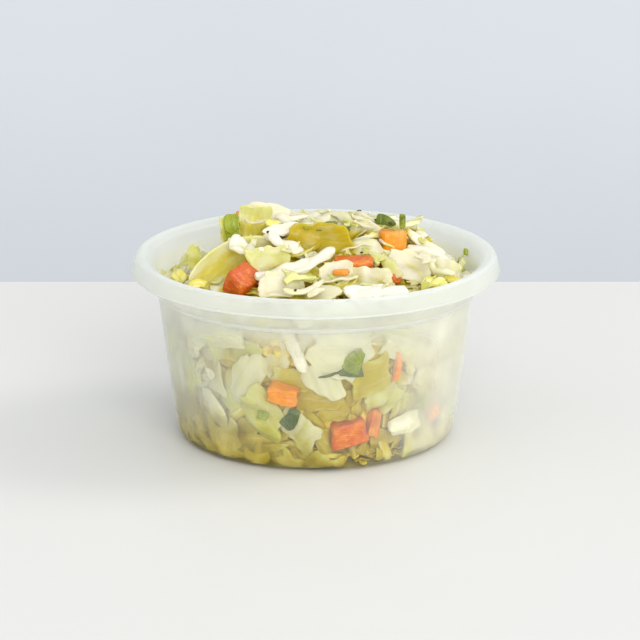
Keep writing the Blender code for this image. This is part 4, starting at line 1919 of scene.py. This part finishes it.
    def shade_and_dressing_by_depth(self, points: np.ndarray) -> np.ndarray:
        """Gives the share of dressing of points by how deep they lie in the salad, under the crest,
        behind the wall and above the floor; it is partly painted shade, golden where the gaps are shaded.

        Args:
            points: The points.

        Returns:
            Their shares, from 0 at the outside.
        """
        x, y, z = points.T
        below = (self.crest[self.heap.cells(x, y)] - z - self.crest_skin) / self.crest_reach
        behind = (self.cup.inside_radius(z) - np.hypot(x, y) - self.wall_skin) / self.wall_reach
        above = (z - self.cup.base_rise) / self.floor_reach
        return self.depth_shade_and_dressing * np.clip(np.minimum(np.minimum(below, behind), above), 0, 1)

    def build_core(self, finish: CoreFinish) -> bpy.types.Object:
        """Makes the core that the pieces cover.

        Args:
            finish: Its looks.

        Returns:
            The core.
        """
        floor, bevel = self.base_depth + 1.2 * MM, 3 * MM
        foot = self.cup.foot_outer_radius - self.wall_depth
        wall = self.cup.wall_top_radius - self.wall_depth
        flat = self.cup.ledge_height - 2 * MM
        corners = [(0.0, floor), (foot - bevel, floor), (foot, floor + bevel), (wall, flat), (0.0, flat)]
        points, faces = revolve(densify(np.array(corners), self.cup.longest_step), self.core_steps)
        top = points[:, 2] > flat - 0.01 * MM
        level = self.outline[self.heap.cells(points[:, 0], points[:, 1])] - self.top_depth
        points[top, 2] = level[top]
        waves = np.sin(points / (1.1 * MM) + np.roll(points, 1, axis=1) / (0.7 * MM))
        lumps = np.sin(points[:, [1, 2, 0]] / (2.3 * MM)) + 0.5 * waves
        return mesh_object("salad_core", points + lumps * self.relief, faces, finish.make())

    def build_film(self, finish: DressingFinish) -> bpy.types.Object:
        """Makes the film of dressing against the wall, from the foot up, with a creamy layer that is partly
        painted light.

        Args:
            finish: Its looks.

        Returns:
            The film.
        """
        steps, rows = self.film_steps, self.film_rows
        _, top = self.wall.spot(0.0, self.film_top)
        turns = np.arange(steps) * 2 * math.pi / steps
        turns, along = np.meshgrid(turns, np.linspace(0, top, rows), indexing="ij")
        depth = np.full_like(along, -self.into_wall - 0.03 * MM)
        flat = np.stack([turns * self.wall.radius, along, depth], -1).reshape(-1, 3)
        index = np.arange(steps * rows).reshape(steps, rows)
        beside = np.roll(index, -1, axis=0)
        faces = np.stack([index[:, :-1], beside[:, :-1], beside[:, 1:], index[:, 1:]], -1).reshape(-1, 4)
        return mesh_object("dressing_film", self.wall.to_world(flat), faces, finish.make())

    def build_pieces(self) -> list[bpy.types.Object]:
        """Joins each kind's pieces, finished.

        Returns:
            One object for each kind.
        """
        self.lay_base()
        self.lay_wall()
        self.lay_top()
        self.sprinkle()
        self.crest = soften(widened(self.heap.level, 3), 4)
        made = []
        for kind, batch in self.batches.items():
            piece = batch.build(FINISHES[kind].make(), self.shade_and_dressing_by_depth)
            triangles = sum(len(face.vertices) - 2 for face in piece.data.polygons)
            LOG.info("%s: %d pieces, %d triangles", piece.name, len(batch.solids), triangles)
            made.append(piece)
        return made


# ---- The studio ----


@dataclass(frozen=True)
class Lamp:
    """One soft square light: its place, its side, its power in watts and its colour."""

    name: str
    place: tuple[float, float, float]
    side: float
    power: float
    colour: Colour


@dataclass
class Studio:
    """A pale floor, a plain backdrop, soft light and the camera."""

    camera_at: tuple[float, float, float] = (0.0009, -0.6531, 0.2116)
    camera_pitch: float = 16.09 * DEGREE
    lens: float = 189.4
    sensor: float = 36.0
    half_width: float = 1.5
    floor_front: float = -1.2
    floor_back: float = 0.113
    backdrop_at: float = 0.6
    backdrop_bottom: float = -1.0
    backdrop_top: float = 1.2
    floor_colour: Colour = paint(207, 207, 206)
    backdrop_colour: Colour = paint(183, 189, 197)
    air_colour: Colour = paint(252, 252, 250)
    air_strength: float = 1.02
    clear_bounces: int = 24
    aim: tuple[float, float, float] = (0, 0, 0.03)
    lamps: tuple[Lamp, ...] = (
        Lamp("key", (2.4, 0.3, 2.1), 1.2, 27.0, paint(255, 252, 244)),
        Lamp("front", (0.6, -2.5, 1.15), 1.8, 56.0, paint(255, 254, 250)),
    )

    def plane(self, name: str, corners: Sequence[Sequence[float]], finish: MattFinish) -> None:
        """Adds one four-cornered surface of the studio."""
        mesh_object(name, np.array(corners, float), [(0, 1, 2, 3)], finish.make())

    def light(self, lamp: Lamp) -> None:
        """Adds one light, turned to the salad.

        Args:
            lamp: The light.
        """
        data = bpy.data.lights.new(lamp.name, "AREA")
        data.size = lamp.side
        data.energy = lamp.power
        data.color = lamp.colour[:3]
        made = bpy.data.objects.new(lamp.name, data)
        made.location = lamp.place
        made.rotation_euler = (Vector(self.aim) - Vector(lamp.place)).to_track_quat("-Z", "Y").to_euler()
        bpy.context.scene.collection.objects.link(made)

    def build(self) -> None:
        """Sets the stage."""
        scene = bpy.context.scene
        wide, front, back = self.half_width, self.floor_front, self.floor_back
        floor = [(-wide, front, 0), (wide, front, 0), (wide, back, 0), (-wide, back, 0)]
        self.plane("floor", floor, MattFinish("studio_floor", self.floor_colour))
        far, low, high = self.backdrop_at, self.backdrop_bottom, self.backdrop_top
        drop = [(-wide, far, low), (wide, far, low), (wide, far, high), (-wide, far, high)]
        self.plane("backdrop", drop, MattFinish("studio_backdrop", self.backdrop_colour, one_sided=True))

        world = bpy.data.worlds.new("studio_air")
        world.use_nodes = True
        sky = world.node_tree.nodes["Background"]
        sky.inputs["Color"].default_value = self.air_colour
        sky.inputs["Strength"].default_value = self.air_strength
        scene.world = world
        for lamp in self.lamps:
            self.light(lamp)

        view = bpy.data.cameras.new("view")
        view.lens = self.lens
        view.sensor_width = self.sensor
        camera = bpy.data.objects.new("view", view)
        camera.location = self.camera_at
        camera.rotation_euler = (math.pi / 2 - self.camera_pitch, 0, 0)
        scene.collection.objects.link(camera)
        scene.camera = camera
        scene.view_settings.view_transform = "Standard"
        scene.cycles.transparent_max_bounces = self.clear_bounces


def main() -> None:
    """Builds the cup, the salad and the studio."""
    logging.basicConfig(level=logging.INFO, format="%(name)s: %(message)s")
    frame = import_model()

    cup = Cup()
    shell = cup.build(PlasticFinish())
    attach(shell, "root")
    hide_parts("cup")
    LOG.info("cup: %d faces", len(shell.data.polygons))

    salad = Salad(cup)
    salad.measure(frame["nodes"]["coleslaw"])
    core = salad.build_core(CoreFinish())
    pieces = salad.build_pieces() + [core, salad.build_film(DressingFinish())]
    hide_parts("coleslaw")
    for piece in pieces:
        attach(piece, "root")

    Studio().build()


if __name__ == "__main__":
    main()
